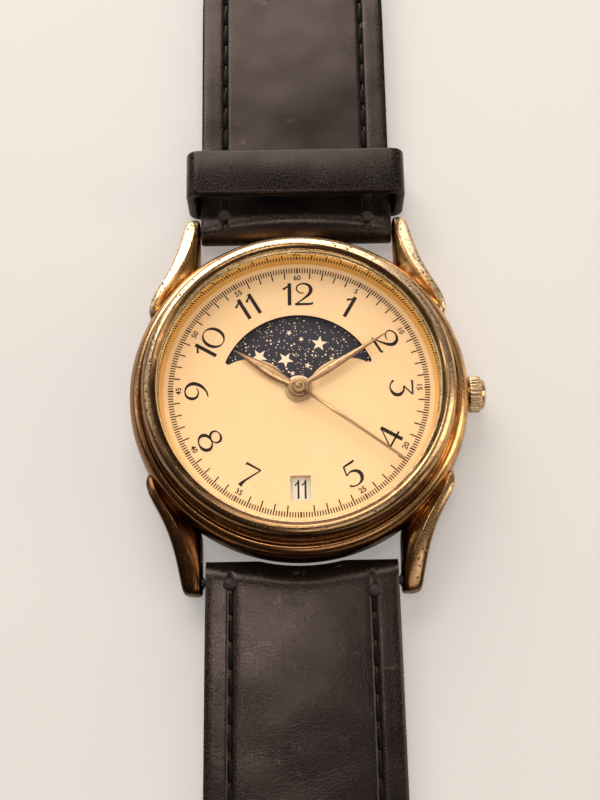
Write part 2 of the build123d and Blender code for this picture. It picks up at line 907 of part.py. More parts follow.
moon_beak = gap_near(moon_jumper_direction, moon_teeth)
moon_spring_r = moon_star_r + jumper_w
moon_spring_at = around(moon_beak, moon_spring_r + jumper_w / 2)
moon_spring_end = around(moon_beak - 90, moon_jumper_reach, moon_spring_at)
with BuildPart() as moon_jumper:
    with BuildSketch(Plane.XY.offset(moon_finger_z)):
        with BuildLine():
            Polyline(
                around(moon_beak, moon_star_root_r + wide_gap),
                around(moon_beak + 90, jumper_w, around(moon_beak, moon_spring_r)),
                around(moon_beak + 90, jumper_w, around(moon_beak, moon_spring_r + jumper_w)),
                around(moon_beak, jumper_w / 2, moon_spring_end),
                around(moon_beak, -jumper_w / 2, moon_spring_end),
                around(moon_beak - 90, jumper_w, around(moon_beak, moon_spring_r)),
                close=True,
            )
        make_face()
    extrude(amount=finger_t)
    post(jumper_anchor_r, moon_spring_end, plate_top_z, moon_finger_z + finger_t)
save(moon_jumper, "moon_jumper")


# Movement plates. The main plate is one stepped blank with a pocket for each part of the work

wheel_room = wide_gap + sliding_gap
train_pockets = [
    ((0, 0), seconds_teeth * seconds_module / 2),
    (fifth_at, fifth_teeth * fifth_module / 2),
    (third_at, third_teeth * third_module / 2),
]
dial_pockets = [
    ((0, 0), cannon_teeth * motion_module / 2),
    (minute_at, minute_teeth * motion_module / 2),
    (setting_at, setting_teeth * motion_module / 2),
]
battery_top_z = battery_low_z + battery_t
bridge_z = plate_low_z - bridge_t
keyless_low_x = pinion_x - crown_pull * pinion_travel_share - wide_gap
keyless_high_x = stem_groove_x + crown_pull + lever_w
lever_post_top_z = keyless_ceiling_z + wheel_t

with BuildPart() as main_plate:
    post(plate_r, (0, 0), plate_low_z, dial_low_z, sides=broad_sides)
    post(plate_wall_r, (0, 0), plate_step_z, dial_low_z, mode=Mode.SUBTRACT, sides=broad_sides)
    post(plate_step_r, (0, 0), plate_top_z, plate_step_z, mode=Mode.SUBTRACT, sides=broad_sides)
    for centre, pitch_r in train_pockets:
        pocket_r = pitch_r + wheel_room * 2
        post(pocket_r, centre, plate_low_z, pocket_ceiling_z, mode=Mode.SUBTRACT, sides=middle_sides)
    block(
        (-coil_bay_half, coil_bay_low_y, plate_low_z),
        (coil_bay_half, coil_bay_high_y, pocket_ceiling_z),
        mode=Mode.SUBTRACT,
    )
    post(
        battery_r + battery_bay_gap,
        (battery_x, battery_y),
        plate_low_z,
        battery_top_z,
        mode=Mode.SUBTRACT,
        sides=middle_sides,
    )
    block(
        (can_x - can_length / 2 - can_bay_margin, -can_y - can_r - can_bay_margin, plate_low_z),
        (can_x + can_length / 2 + can_bay_margin, -can_y + can_r + can_bay_margin, pocket_ceiling_z),
        mode=Mode.SUBTRACT,
    )
    block(
        (keyless_low_x, -keyless_half, plate_low_z),
        (keyless_high_x, keyless_half, keyless_ceiling_z),
        mode=Mode.SUBTRACT,
    )
    block(
        (keyless_low_x, -pinion_r - wheel_room, keyless_ceiling_z),
        (stem_square_x, pinion_r + wheel_room, pinion_ceiling_z),
        mode=Mode.SUBTRACT,
    )
    rod(stem_r + wide_gap, keyless_high_x, plate_r + overrun, mode=Mode.SUBTRACT)
    rod(stem_pivot_r + running_gap, stem_inner_x - wide_gap, keyless_low_x, mode=Mode.SUBTRACT)
    for centre, pitch_r in dial_pockets:
        pocket_r = pitch_r + wheel_room + motion_module
        post(pocket_r, centre, dial_pocket_z, plate_top_z, mode=Mode.SUBTRACT, sides=middle_sides)
    post(centre_pipe_r + running_gap, (0, 0), pocket_ceiling_z, dial_pocket_z, mode=Mode.SUBTRACT)
    for centre in (fifth_at, rotor_at, third_at):
        post(pivot_r + running_gap, centre, pocket_ceiling_z, pivot_top_z + running_gap, mode=Mode.SUBTRACT)
    for centre in (lever_at, yoke_at):
        post(post_r + running_gap, centre, keyless_ceiling_z, lever_post_top_z, mode=Mode.SUBTRACT)
    for place in screw_places:
        post(screw_shank_r, place, plate_low_z, bridge_z + screw_length, mode=Mode.SUBTRACT)
    post(post_r, minute_at, dial_pocket_z, post_top_z)
    post(post_r, setting_at, dial_pocket_z, motion_wheel_z + wheel_t * 2)
    post(post_r, driver_at, plate_top_z, finger_top_z)
save(main_plate, "main_plate")

with BuildPart() as train_bridge:
    with BuildSketch(Plane.XY.offset(bridge_z)):
        RegularPolygon(bridge_r, broad_sides)
        with Locations((0, -bridge_edge_y)):
            Rectangle(bridge_r * 2, bridge_r, align=(Align.CENTER, Align.MAX), mode=Mode.SUBTRACT)
        with Locations((-bay_x, bay_y)):
            Rectangle(bridge_r, bridge_r, align=(Align.MAX, Align.MAX), mode=Mode.SUBTRACT)
    extrude(amount=bridge_t)
    post(seconds_arbor_r + running_gap, (0, 0), bridge_z, plate_low_z, mode=Mode.SUBTRACT)
    for centre in (fifth_at, rotor_at, third_at):
        post(pivot_r + running_gap, centre, bridge_z, plate_low_z, mode=Mode.SUBTRACT)
    for place in screw_places[:3]:
        post(screw_shank_r, place, bridge_z, plate_low_z, mode=Mode.SUBTRACT)
save(train_bridge, "train_bridge")

clamp_half = battery_r + clamp_reach + clamp_foot
with BuildPart() as circuit_board:
    with BuildSketch(Plane.XY.offset(bridge_z)):
        RegularPolygon(bridge_r, broad_sides)
        with Locations((0, -board_edge_y)):
            Rectangle(bridge_r * 2, bridge_r * 2, align=(Align.CENTER, Align.MIN), mode=Mode.SUBTRACT)
        with Locations((battery_x, battery_y)):
            RegularPolygon(clamp_half + wheel_room, middle_sides, mode=Mode.SUBTRACT)
    extrude(amount=bridge_t)
    for place in screw_places[3:]:
        post(screw_shank_r, place, bridge_z, plate_low_z, mode=Mode.SUBTRACT)
save(circuit_board, "circuit_board")

with BuildPart() as movement_screws:
    for place in screw_places:
        post(screw_head_r, place, bridge_z - screw_head_t, bridge_z)
        post(screw_shank_r, place, bridge_z, bridge_z + screw_length)
save(movement_screws, "movement_screws")

with BuildPart() as movement_holder:
    add(tube(holder_r, plate_r + running_gap, plate_low_z, dial_low_z).part)
    rod(tube_bore_r, plate_r - overrun, holder_r + overrun, mode=Mode.SUBTRACT)
save(movement_holder, "movement_holder")


# Electric parts: the coil lies between the stator's two arms, and the rotor's magnet turns in its lobe

core_z = stator_z - coil_core_t
core_size = (coil_core_half * 2, coil_core_w, coil_core_t)
arm_x = coil_core_half - stator_arm_w / 2

with BuildPart() as coil_core:
    with Locations((0, coil_y, core_z + coil_core_t / 2)):
        Box(*core_size)
save(coil_core, "coil_core")

with BuildPart() as coil_winding:
    with Locations((0, coil_y, core_z + coil_core_t / 2)):
        Box(coil_half * 2, coil_w, coil_t)
        chamfer(coil_winding.edges().filter_by(Axis.X), coil_round)
        Box(*core_size, mode=Mode.SUBTRACT)
save(coil_winding, "coil_winding")

with BuildPart() as stator:
    with BuildSketch(Plane.XY.offset(stator_z)):
        with Locations(rotor_at):
            RegularPolygon(stator_lobe_r, middle_sides)
        with Locations((0, rotor_at[1])):
            Rectangle(coil_core_half * 2, stator_arm_w)
        for side in (-1, 1):
            with Locations((side * arm_x, rotor_at[1] - stator_arm_w / 2)):
                Rectangle(
                    stator_arm_w,
                    coil_y + coil_core_w / 2 - rotor_at[1] + stator_arm_w / 2,
                    align=(Align.CENTER, Align.MIN),
                )
        with Locations(rotor_at):
            RegularPolygon(rotor_magnet_r + magnet_gap, fine_sides, mode=Mode.SUBTRACT)
    extrude(amount=stator_t)
save(stator, "stator")

with BuildPart() as quartz_can:
    rod(can_r, can_x - can_length / 2, can_x + can_length / 2, y=-can_y, z=plate_low_z + can_r)
save(quartz_can, "quartz_can")

with BuildPart() as battery:
    battery_at = (battery_x, battery_y)
    post(battery_cap_r, battery_at, battery_low_z, battery_low_z + battery_step, sides=middle_sides)
    post(battery_r, battery_at, battery_low_z + battery_step, battery_top_z, sides=middle_sides)
save(battery, "battery")

with BuildPart() as battery_clamp:
    clamp_z = battery_low_z - sliding_gap
    for side in (-1, 1):
        foot_y = battery_y + side * (clamp_half - clamp_foot / 2)
        with Locations((battery_x, foot_y, (clamp_z + plate_low_z) / 2)):
            Box(clamp_w, clamp_foot, plate_low_z - clamp_z)
    with Locations((battery_x, battery_y, clamp_z - clamp_t / 2)):
        Box(clamp_w, clamp_half * 2, clamp_t)
save(battery_clamp, "battery_clamp")


# Crown and stem, and the levers that the stem's groove and the sliding pinion's groove work

crown_face = Plane(origin=(crown_x, 0, stem_z), x_dir=(0, 1, 0), z_dir=(1, 0, 0))
crown_bore_x = crown_x + crown_recess + stem_r

with BuildPart() as crown:
    with BuildSketch(crown_face):
        with BuildLine():
            Polyline(*tooth_points(crown_ridges, crown_core_r, crown_r, 0, (0, 0)), close=True)
        make_face()
    extrude(amount=crown_grip)
    rod(crown_cap_r, crown_x + crown_grip, crown_x + crown_length, sides=middle_sides)
    chamfer(crown.faces().sort_by(Axis.X)[-1].edges(), crown_length - crown_grip - wide_gap * 2)
    rod(crown_recess_r, crown_x, crown_x + crown_recess, mode=Mode.SUBTRACT, sides=middle_sides)
    rod(stem_r, crown_x, crown_bore_x, mode=Mode.SUBTRACT)
save(crown, "crown")

with BuildPart() as stem:
    groove_low_x = stem_groove_x - stem_groove_w / 2
    groove_high_x = stem_groove_x + stem_groove_w / 2
    rod(stem_pivot_r, stem_inner_x, pinion_x)
    with BuildSketch(Plane(origin=(pinion_x, 0, stem_z), x_dir=(0, 1, 0), z_dir=(1, 0, 0))):
        Rectangle(stem_square_w, stem_square_w)
    extrude(amount=stem_square_x - pinion_x)
    rod(stem_r, stem_square_x, groove_low_x)
    rod(stem_groove_r, groove_low_x, groove_high_x)
    rod(stem_r, groove_high_x, crown_bore_x)
save(stem, "stem")

with BuildPart() as sliding_pinion:
    with BuildSketch(Plane(origin=(pinion_x, 0, stem_z), x_dir=(0, 1, 0), z_dir=(1, 0, 0))):
        with BuildLine():
            Polyline(*tooth_points(pinion_teeth, pinion_tooth_r, pinion_r, 0, (0, 0)), close=True)
        make_face()
        Rectangle(stem_square_w + running_gap * 2, stem_square_w + running_gap * 2, mode=Mode.SUBTRACT)
    extrude(amount=pinion_length)
    groove_x = yoke_at[0] - pinion_groove_w / 2
    with BuildSketch(Plane(origin=(groove_x, 0, stem_z), x_dir=(0, 1, 0), z_dir=(1, 0, 0))):
        RegularPolygon(pinion_r + wide_gap, fine_sides)
        RegularPolygon(pinion_groove_r, fine_sides, mode=Mode.SUBTRACT)
    extrude(amount=pinion_groove_w, mode=Mode.SUBTRACT)
save(sliding_pinion, "sliding_pinion")


def lever(at, toward, arm, nose_top_z):
    """A flat lever from its post to the stem, with a nose that stands in a groove."""
    with BuildPart() as body:
        with BuildSketch(Plane.XY.offset(lever_z)):
            with Locations((at[0], toward * arm / 2)):
                Rectangle(lever_w, arm)
            with Locations((at[0], 0), (at[0], toward * arm)):
                RegularPolygon(lever_w / 2, fine_sides)
        extrude(amount=lever_t)
        post(post_r, at, lever_z, lever_post_top_z - running_gap)
        post(lever_nose_r, (at[0], 0), lever_z + lever_t, nose_top_z)
    return body


setting_lever = lever(lever_at, -1, lever_arm, stem_z - stem_groove_r - sliding_gap)
save(setting_lever, "setting_lever")
yoke = lever(yoke_at, 1, yoke_arm, stem_z - pinion_groove_r - sliding_gap)
save(yoke, "yoke")

with BuildPart() as crown_tube:
    rod(tube_r, tube_inner_x, crown_x + tube_reach)
    rod(tube_bore_r, tube_inner_x, crown_x + tube_reach, mode=Mode.SUBTRACT)
save(crown_tube, "crown_tube")

with BuildPart() as crown_gasket:
    seal_x = crown_x + tube_reach - seal_t - sliding_gap
    rod(seal_r, seal_x, seal_x + seal_t)
    rod(tube_r + running_gap, seal_x, seal_x + seal_t, mode=Mode.SUBTRACT)
save(crown_gasket, "crown_gasket")


# Spring bars: a tube, the spring inside it and a sprung tip at each end

for side, hour in ((1, 12), (-1, 6)):
    with BuildPart() as bar_tube:
        rod(bar_r, -bar_half, bar_half, y=side * bar_y, z=bar_z)
        rod(bar_bore_r, -bar_half, bar_half, y=side * bar_y, z=bar_z, mode=Mode.SUBTRACT)
    save(bar_tube, f"spring_bar_{hour}_tube")

    with BuildPart() as bar_spring:
        rod(tip_shaft_r, -tip_shaft_half, tip_shaft_half, y=side * bar_y, z=bar_z)
        rod(
            spring_bore_r, -tip_shaft_half, tip_shaft_half, y=side * bar_y, z=bar_z, mode=Mode.SUBTRACT
        )
    save(bar_spring, f"spring_bar_{hour}_spring")

    with BuildPart() as bar_tip:
        rod(tip_shaft_r, tip_shaft_half, tip_flange_x, y=side * bar_y, z=bar_z)
        rod(tip_flange_r, tip_flange_x, tip_flange_x + tip_flange_t, y=side * bar_y, z=bar_z)
        rod(tip_pin_r, tip_flange_x + tip_flange_t, tip_pin_x, y=side * bar_y, z=bar_z)
    save(bar_tip, f"spring_bar_{hour}_right_tip")

    with BuildPart() as bar_left_tip:
        mirror(bar_tip.part, about=Plane.YZ)
    save(bar_left_tip, f"spring_bar_{hour}_left_tip")


# Strap: each half is an outer leather folded round its bar, and a lining under it

strap_half_w = lug_width / 2 - strap_gap
strap_end_half_w = strap_end_w / 2
under_z = bar_z - roll_r
short_top_z = under_z + strap_t
fold_y = bar_y + fold_length
buckle_fold_y = buckle_y - fold_length


def both_sides(points):
    """A closed outline from the points of its right side, ordered along the strap."""
    return [*points, *[(-x, y) for x, y in reversed(points)]]


with BuildSketch(Plane.XY.offset(-overrun)) as short_plan:
    with BuildLine():
        Polyline(
            *both_sides(
                [
                    (strap_half_w, bar_y - roll_r - overrun),
                    (strap_half_w, short_wide_y),
                    (strap_end_half_w, short_narrow_y),
                    (strap_end_half_w, buckle_y + roll_r + overrun),
                ]
            ),
            close=True,
        )
    make_face()
    with Locations((0, buckle_y - slot_length)):
        Rectangle(slot_w, slot_length * 2, align=(Align.CENTER, Align.MIN), mode=Mode.SUBTRACT)

tip_y = strap_tip_r - long_end_y
tip_curve = [
    (-strap_end_half_w * cos(radians(turn)), tip_y - strap_tip_r * sin(radians(turn)))
    for turn in range(0, 181, 15)
]
with BuildSketch(Plane.XY.offset(-overrun)) as long_plan:
    with BuildLine():
        Polyline(
            *tip_curve,
            (strap_end_half_w, -long_narrow_y),
            (strap_half_w, -long_wide_y),
            (strap_half_w, -bar_y + roll_r + overrun),
            (-strap_half_w, -bar_y + roll_r + overrun),
            (-strap_half_w, -long_wide_y),
            (-strap_end_half_w, -long_narrow_y),
            close=True,
        )
    make_face()
    for hole in range(hole_count):
        with Locations((0, -hole_first_y - hole * hole_pitch)):
            RegularPolygon(hole_r, fine_sides, mode=Mode.SUBTRACT)

strap_space = bar_z + roll_r + overrun * 2

with BuildPart() as strap_short_outer:
    with BuildSketch(Plane.YZ):
        with BuildLine():
            Polyline(
                (bar_y, under_z),
                (fold_y, under_z),
                (fold_y, under_z + lining_t),
                (buckle_fold_y, under_z + lining_t),
                (buckle_fold_y, under_z),
                (buckle_y, under_z),
                (buckle_y, bar_z + roll_r),
                (buckle_y - ramp_length, short_top_z),
                (bar_y + ramp_length, short_top_z),
                (bar_y, bar_z + roll_r),
                close=True,
            )
        make_face()
        with Locations((bar_y, bar_z), (buckle_y, bar_z)):
            RegularPolygon(roll_r, middle_sides)
            RegularPolygon(roll_bore_r, fine_sides, mode=Mode.SUBTRACT)
    extrude(amount=lug_width, both=True)
    extrude(short_plan.sketch, amount=strap_space, mode=Mode.INTERSECT)
save(strap_short_outer, "strap_short_outer")

with BuildPart() as strap_short_lining:
    block((-lug_width, fold_y, under_z), (lug_width, buckle_fold_y, under_z + lining_t))
    extrude(short_plan.sketch, amount=strap_space, mode=Mode.INTERSECT)
save(strap_short_lining, "strap_short_lining")


def sag_z(y):
    """The height of the long half's underside, which slopes to the surface that the watch lies on."""
    return under_z * (floor_y - y) / (floor_y - bar_y)


with BuildPart() as strap_long_outer:
    with BuildSketch(Plane.YZ):
        with BuildLine():
            Polyline(
                (-bar_y, under_z),
                (-fold_y, sag_z(fold_y)),
                (-fold_y, sag_z(fold_y) + lining_t),
                (-floor_y, lining_t),
                (-long_end_y, lining_t),
                (-long_end_y, strap_t),
                (-floor_y, strap_t),
                (-bar_y - ramp_length, sag_z(bar_y + ramp_length) + strap_t),
                (-bar_y, bar_z + roll_r),
                close=True,
            )
        make_face()
        with Locations((-bar_y, bar_z)):
            RegularPolygon(roll_r, middle_sides)
            RegularPolygon(roll_bore_r, fine_sides, mode=Mode.SUBTRACT)
    extrude(amount=lug_width, both=True)
    extrude(long_plan.sketch, amount=strap_space, mode=Mode.INTERSECT)
save(strap_long_outer, "strap_long_outer")

with BuildPart() as strap_long_lining:
    with BuildSketch(Plane.YZ):
        with BuildLine():
            Polyline(
                (-fold_y, sag_z(fold_y)),
                (-floor_y, 0),
                (-long_end_y, 0),
                (-long_end_y, lining_t),
                (-floor_y, lining_t),
                (-fold_y, sag_z(fold_y) + lining_t),
                close=True,
            )
        make_face()
    extrude(amount=lug_width, both=True)
    extrude(long_plan.sketch, amount=strap_space, mode=Mode.INTERSECT)
save(strap_long_lining, "strap_long_lining")


def keeper(strap_half, y):
    """A leather loop round the strap, with room for the other half to pass through."""
    inner_half = strap_half + keeper_side_gap
    inner_low_z = floor_gap + keeper_low_t
    inner_top_z = inner_low_z + keeper_room
    with BuildPart() as loop:
        with BuildSketch(Plane.XZ.offset(-y)):
            with Locations((0, (floor_gap + inner_top_z + keeper_t) / 2)):
                RectangleRounded(
                    (inner_half + keeper_t) * 2, inner_top_z + keeper_t - floor_gap, keeper_round
                )
            with Locations((0, (inner_low_z + inner_top_z) / 2)):
                Rectangle(inner_half * 2, keeper_room, mode=Mode.SUBTRACT)
        extrude(amount=keeper_w / 2, both=True)
    return loop


floating_keeper = keeper(strap_half_w, floating_y)
save(floating_keeper, "floating_keeper")
fixed_keeper = keeper(strap_end_half_w, fixed_y)
save(fixed_keeper, "fixed_keeper")


# Buckle: a curved frame on its bar, with the tongue resting on the frame's front bar

window_half = strap_end_half_w + ear_gap
frame_half = window_half + buckle_wall
window_front_y = frame_front_y - frame_bar_w

with BuildPart() as buckle_frame:
    with BuildSketch() as frame_plan:
        with Locations((0, buckle_y - ear_r)):
            Rectangle(frame_half * 2, frame_front_y - buckle_y + ear_r, align=(Align.CENTER, Align.MIN))
        fillet(frame_plan.vertices().group_by(Axis.Y)[-1], frame_corner_r)
        with Locations((0, buckle_y - ear_r)):
            Rectangle(
                window_half * 2,
                window_front_y - buckle_y + ear_r,
                align=(Align.CENTER, Align.MIN),
                mode=Mode.SUBTRACT,
            )
    extrude(amount=bar_z + roll_r)
    with BuildSketch(Plane.YZ):
        with BuildLine():
            Polyline(
                (buckle_y, bar_z + ear_r),
                (window_front_y, frame_top_z),
                (frame_front_y, frame_top_z),
                (frame_front_y, floor_gap),
                (frame_low_y, floor_gap),
                (buckle_y, bar_z - ear_r),
                close=True,
            )
        make_face()
        with Locations((buckle_y, bar_z)):
            RegularPolygon(ear_r, middle_sides)
    extrude(amount=lug_width, both=True, mode=Mode.INTERSECT)
    rod(
        buckle_bar_r,
        -lug_width,
        lug_width,
        y=buckle_y,
        z=bar_z,
        mode=Mode.SUBTRACT,
        sides=middle_sides,
    )
save(buckle_frame, "buckle_frame")

with BuildPart() as buckle_bar:
    rod(buckle_bar_r, -frame_half, frame_half, y=buckle_y, z=bar_z, sides=middle_sides)
save(buckle_bar, "buckle_bar")

tongue_low_z = frame_top_z + sliding_gap
tongue_root_z = bar_z + tongue_r
with BuildPart() as buckle_tongue:
    with BuildSketch(Plane.YZ):
        with BuildLine():
            Polyline(
                (buckle_y, tongue_root_z),
                (window_front_y, tongue_low_z + tongue_t),
                (tongue_tip_y, tongue_low_z + tongue_tip_t),
                (tongue_tip_y, tongue_low_z),
                (window_front_y, tongue_low_z),
                (buckle_y, tongue_root_z - tongue_t),
                close=True,
            )
        make_face()
        with Locations((buckle_y, bar_z)):
            RegularPolygon(tongue_r, middle_sides)
            RegularPolygon(buckle_bar_r + running_gap, middle_sides, mode=Mode.SUBTRACT)
    extrude(amount=tongue_w / 2, both=True)
save(buckle_tongue, "buckle_tongue")
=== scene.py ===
# %% [markdown]
# # Moon phase watch
# A gold plated dress watch with a moon window in its dial, on a black leather strap. All of it could be
# modelled again in Blender, but every wheel and joint would have to be measured again too. Here a solid
# whose shape is right only gets a finish, and one that the photograph shows closely gets a finer mesh in
# the same place.
#
# Sizes are millimetres in that frame: the origin is the middle of the case back, +Z runs out of the dial,
# +Y to 12 o'clock and +X to the crown. What a piece sits on is measured from the frame rather than typed
# again.

# %% Frame, units and shared sizes
import json
import math
import random

import bmesh
import bpy
import numpy as np
from mathutils import Matrix, Vector

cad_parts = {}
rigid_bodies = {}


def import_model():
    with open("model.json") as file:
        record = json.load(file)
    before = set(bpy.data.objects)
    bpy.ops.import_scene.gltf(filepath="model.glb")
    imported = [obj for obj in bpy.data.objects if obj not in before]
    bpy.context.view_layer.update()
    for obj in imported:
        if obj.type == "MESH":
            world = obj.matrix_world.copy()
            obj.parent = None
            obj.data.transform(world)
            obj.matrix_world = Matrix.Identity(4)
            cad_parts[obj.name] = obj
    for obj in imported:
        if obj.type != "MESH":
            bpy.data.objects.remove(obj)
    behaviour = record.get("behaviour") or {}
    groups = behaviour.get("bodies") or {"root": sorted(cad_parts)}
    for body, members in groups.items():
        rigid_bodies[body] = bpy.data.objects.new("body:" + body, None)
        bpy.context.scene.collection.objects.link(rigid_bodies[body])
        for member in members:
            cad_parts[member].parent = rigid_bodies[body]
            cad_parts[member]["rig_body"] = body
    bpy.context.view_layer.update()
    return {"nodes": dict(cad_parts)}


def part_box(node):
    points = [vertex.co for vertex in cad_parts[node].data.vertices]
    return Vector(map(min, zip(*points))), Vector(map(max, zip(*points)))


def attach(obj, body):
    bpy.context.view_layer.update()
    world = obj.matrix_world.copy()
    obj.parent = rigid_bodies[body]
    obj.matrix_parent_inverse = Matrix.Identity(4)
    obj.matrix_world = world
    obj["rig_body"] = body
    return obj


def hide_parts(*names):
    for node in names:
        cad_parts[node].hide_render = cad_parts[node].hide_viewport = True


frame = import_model()
nodes = frame["nodes"]
MM = 0.001
LOW, HIGH = 0, 1
X, Y, Z = 0, 1, 2


def reach(cad_node, end, axis):
    """How far a CAD node reaches along an axis, in millimetres."""
    return round(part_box(cad_node)[end][axis] / MM, 3)


def middle(cad_node, axis):
    return round((reach(cad_node, LOW, axis) + reach(cad_node, HIGH, axis)) / 2, 3)


def clamp(value, low=0.0, high=1.0):
    return min(max(value, low), high)


def ease(t):
    """0 to 1 with a soft start and a soft end."""
    return t * t * (3 - 2 * t)


case_r = reach("case_middle", HIGH, X)
dial_z = reach("dial", HIGH, Z)
dial_centre = Vector((0, 0, dial_z))
bar_y, bar_z = middle("spring_bar_12_tube", Y), middle("spring_bar_12_tube", Z)
buckle_y = middle("buckle_bar", Y)
print("case radius", case_r, "dial at", dial_z, "spring bars at", bar_y, bar_z, "buckle bar at", buckle_y)


# %% [markdown]
# ## Camera
# The photograph was taken from above, 18.4 degrees from upright towards 6 o'clock and about 139 mm from the
# dial. A camera could be placed by eye, but an error in its tilt would then be built into every shape
# compared with the picture. Its tilt, distance and lens are therefore worked out from the dial's circle,
# the minute track and the two strap halves. The small shifts slide the picture on the sensor without
# turning the view.

# %% Camera
def look(obj, at):
    """Turns a camera or light to a point, in metres."""
    obj.rotation_euler = (Vector(at) - obj.location).to_track_quat("-Z", "Y").to_euler()


def link(obj):
    bpy.context.scene.collection.objects.link(obj)
    return obj


photo_height = 800
view_from = Vector((0, -0.3156, 0.9489))
view_distance = 139
view_roll = math.radians(-1.0)

camera_data = bpy.data.cameras.new("camera")
camera_data.lens = 63.18
camera_data.sensor_width = 36
camera_data.shift_x = 1 / photo_height
camera_data.shift_y = -9.9 / photo_height
camera_data.clip_start = 0.01
camera = link(bpy.data.objects.new("camera", camera_data))
camera.location = (dial_centre + view_distance * view_from) * MM
aim = (dial_centre * MM - camera.location).to_track_quat("-Z", "Y").to_matrix().to_4x4()
camera.rotation_euler = (aim @ Matrix.Rotation(view_roll, 4, "Z")).to_euler()
bpy.context.scene.camera = camera
print("camera at", [round(v, 4) for v in camera.location])


# %% [markdown]
# ## Lamps
# Polished metal shows little but the mirror images of what stands round it. A single bright lamp would
# light the leather well and leave the case black, so broad panels stand round the watch instead, and each
# one draws its own highlight: the key and the low strip behind 12 o'clock whiten the top of the bezel and
# the upper lugs, the right panel draws the streak beside the crown, and the left one is weak because the
# photograph is dark on that side.

# %% Lamps
def area_light(name, place, size, watts, colour, at):
    data = bpy.data.lights.new(name, "AREA")
    data.shape, data.size, data.size_y = "RECTANGLE", size[0], size[1]
    data.energy, data.color = watts, colour
    light = link(bpy.data.objects.new(name, data))
    light.location = place
    look(light, at)


watch_middle = (0, 0, 0)
lamps = [
    # name, place and size in metres, watts, colour, aimed at
    ("key", (-0.1, 0.36, 0.3), (0.4, 0.3), 2.1, (1, 0.95, 0.88), watch_middle),
    ("low strip", (-0.04, 0.44, 0.13), (0.5, 0.14), 0.75, (1, 0.95, 0.88), watch_middle),
    ("right", (0.42, 0.0, 0.22), (0.18, 0.4), 0.7, (1, 0.86, 0.7), watch_middle),
    ("left", (-0.42, 0.1, 0.26), (0.16, 0.3), 0.2, (1, 0.95, 0.9), watch_middle),
    ("front", (0.12, -0.3, 0.36), (0.3, 0.16), 0.32, (1, 0.94, 0.88), watch_middle),
    ("overhead", (-0.04, 0.012, 0.5), (0.12, 0.075), 0.32, (1, 0.94, 0.88), (0, -0.03, 0)),
]
for lamp in lamps:
    area_light(*lamp)
print(len(lamps), "lamps,", round(sum(lamp[3] for lamp in lamps), 2), "watts")


# %% [markdown]
# ## World and floor
# The world is what the metal mirrors where no lamp stands: dark low down and paler overhead towards 12
# o'clock. A picture of a room could do that too, but a ramp over the direction is simple to change. Light
# Path's Is Camera Ray puts a pale backdrop behind the watch that the camera alone sees, so that a pale
# picture costs the gold none of its contrast. The floor is a plain quad a hair below the strap.

# %% World
world = bpy.data.worlds.new("studio")
world.use_nodes = True
room = world.node_tree
facing = room.nodes.new("ShaderNodeVectorMath")
facing.operation = "DOT_PRODUCT"
facing.inputs[1].default_value = (-0.1, 0.62, 0.78)
shade = room.nodes.new("ShaderNodeValToRGB")
dark_end, pale_end = shade.color_ramp.elements
dark_end.position, dark_end.color = 0.1, (0.05, 0.038, 0.03, 1)
pale_end.position, pale_end.color = 0.95, (0.22, 0.205, 0.195, 1)
backdrop = room.nodes.new("ShaderNodeBackground")
backdrop.inputs["Color"].default_value = (0.7, 0.66, 0.63, 1)
seen = room.nodes.new("ShaderNodeMixShader")
room.links.new(room.nodes.new("ShaderNodeTexCoord").outputs["Generated"], facing.inputs[0])
room.links.new(facing.outputs["Value"], shade.inputs[0])
room.links.new(shade.outputs["Color"], room.nodes["Background"].inputs["Color"])
room.links.new(room.nodes.new("ShaderNodeLightPath").outputs["Is Camera Ray"], seen.inputs[0])
room.links.new(room.nodes["Background"].outputs[0], seen.inputs[1])
room.links.new(backdrop.outputs[0], seen.inputs[2])
room.links.new(seen.outputs[0], room.nodes["World Output"].inputs["Surface"])
bpy.context.scene.world = world
bpy.context.scene.view_settings.view_transform = "Standard"
print("world made, view transform", bpy.context.scene.view_settings.view_transform)

# %% Floor
floor_half = 1.5
corners = [(x * floor_half, y * floor_half, 0) for x, y in ((-1, -1), (1, -1), (1, 1), (-1, 1))]
floor_mesh = bpy.data.meshes.new("floor")
floor_mesh.from_pydata(corners, [], [(0, 1, 2, 3)])
floor = link(bpy.data.objects.new("floor", floor_mesh))
floor.location.z = -0.00002
print("floor", 2 * floor_half, "m wide")


# %% [markdown]
# ## Tools for shader groups
# A finish such as worn gold is used on many pieces in slightly different colours. Each could have a node
# tree of its own, but then a better scratch would have to be drawn in every one. A shader group is drawn
# once, takes its colours and amounts as inputs, and gives back a colour, a roughness and a bump normal. The
# Principled shader stays outside the group, in the material. The helpers below add a node and link or set
# its inputs in one line, which keeps the groups readable.

# %% Nodes and their inputs
def put(tree, made, key, value):
    """Sets or links an input by its name, or by number (i0, i1) where names repeat."""
    socket = made.inputs[int(key[1:])] if key[:1] == "i" and key[1:].isdigit() else made.inputs[key]
    if isinstance(value, bpy.types.NodeSocket):
        tree.links.new(value, socket)
    else:
        socket.default_value = value


def node(tree, kind, settings=None, **values):
    """A node with its settings and input values; a value that is a socket is linked."""
    made = tree.nodes.new(kind)
    for key, value in (settings or {}).items():
        setattr(made, key, value)
    for key, value in values.items():
        put(tree, made, key.replace("_", " "), value)
    return made


def group(name, **inputs):
    """A shader group with inputs of the given kinds: its tree, its given sockets and its output node."""
    tree = bpy.data.node_groups.new(name, "ShaderNodeTree")
    outputs = {"Color": "Color", "Roughness": "Float", "Normal": "Vector"}
    for direction, sockets in (("INPUT", inputs), ("OUTPUT", outputs)):
        for label, kind in sockets.items():
            tree.interface.new_socket(label, in_out=direction, socket_type="NodeSocket" + kind)
    return tree, tree.nodes.new("NodeGroupInput").outputs, tree.nodes.new("NodeGroupOutput")


groups = {}
print("node tools ready")


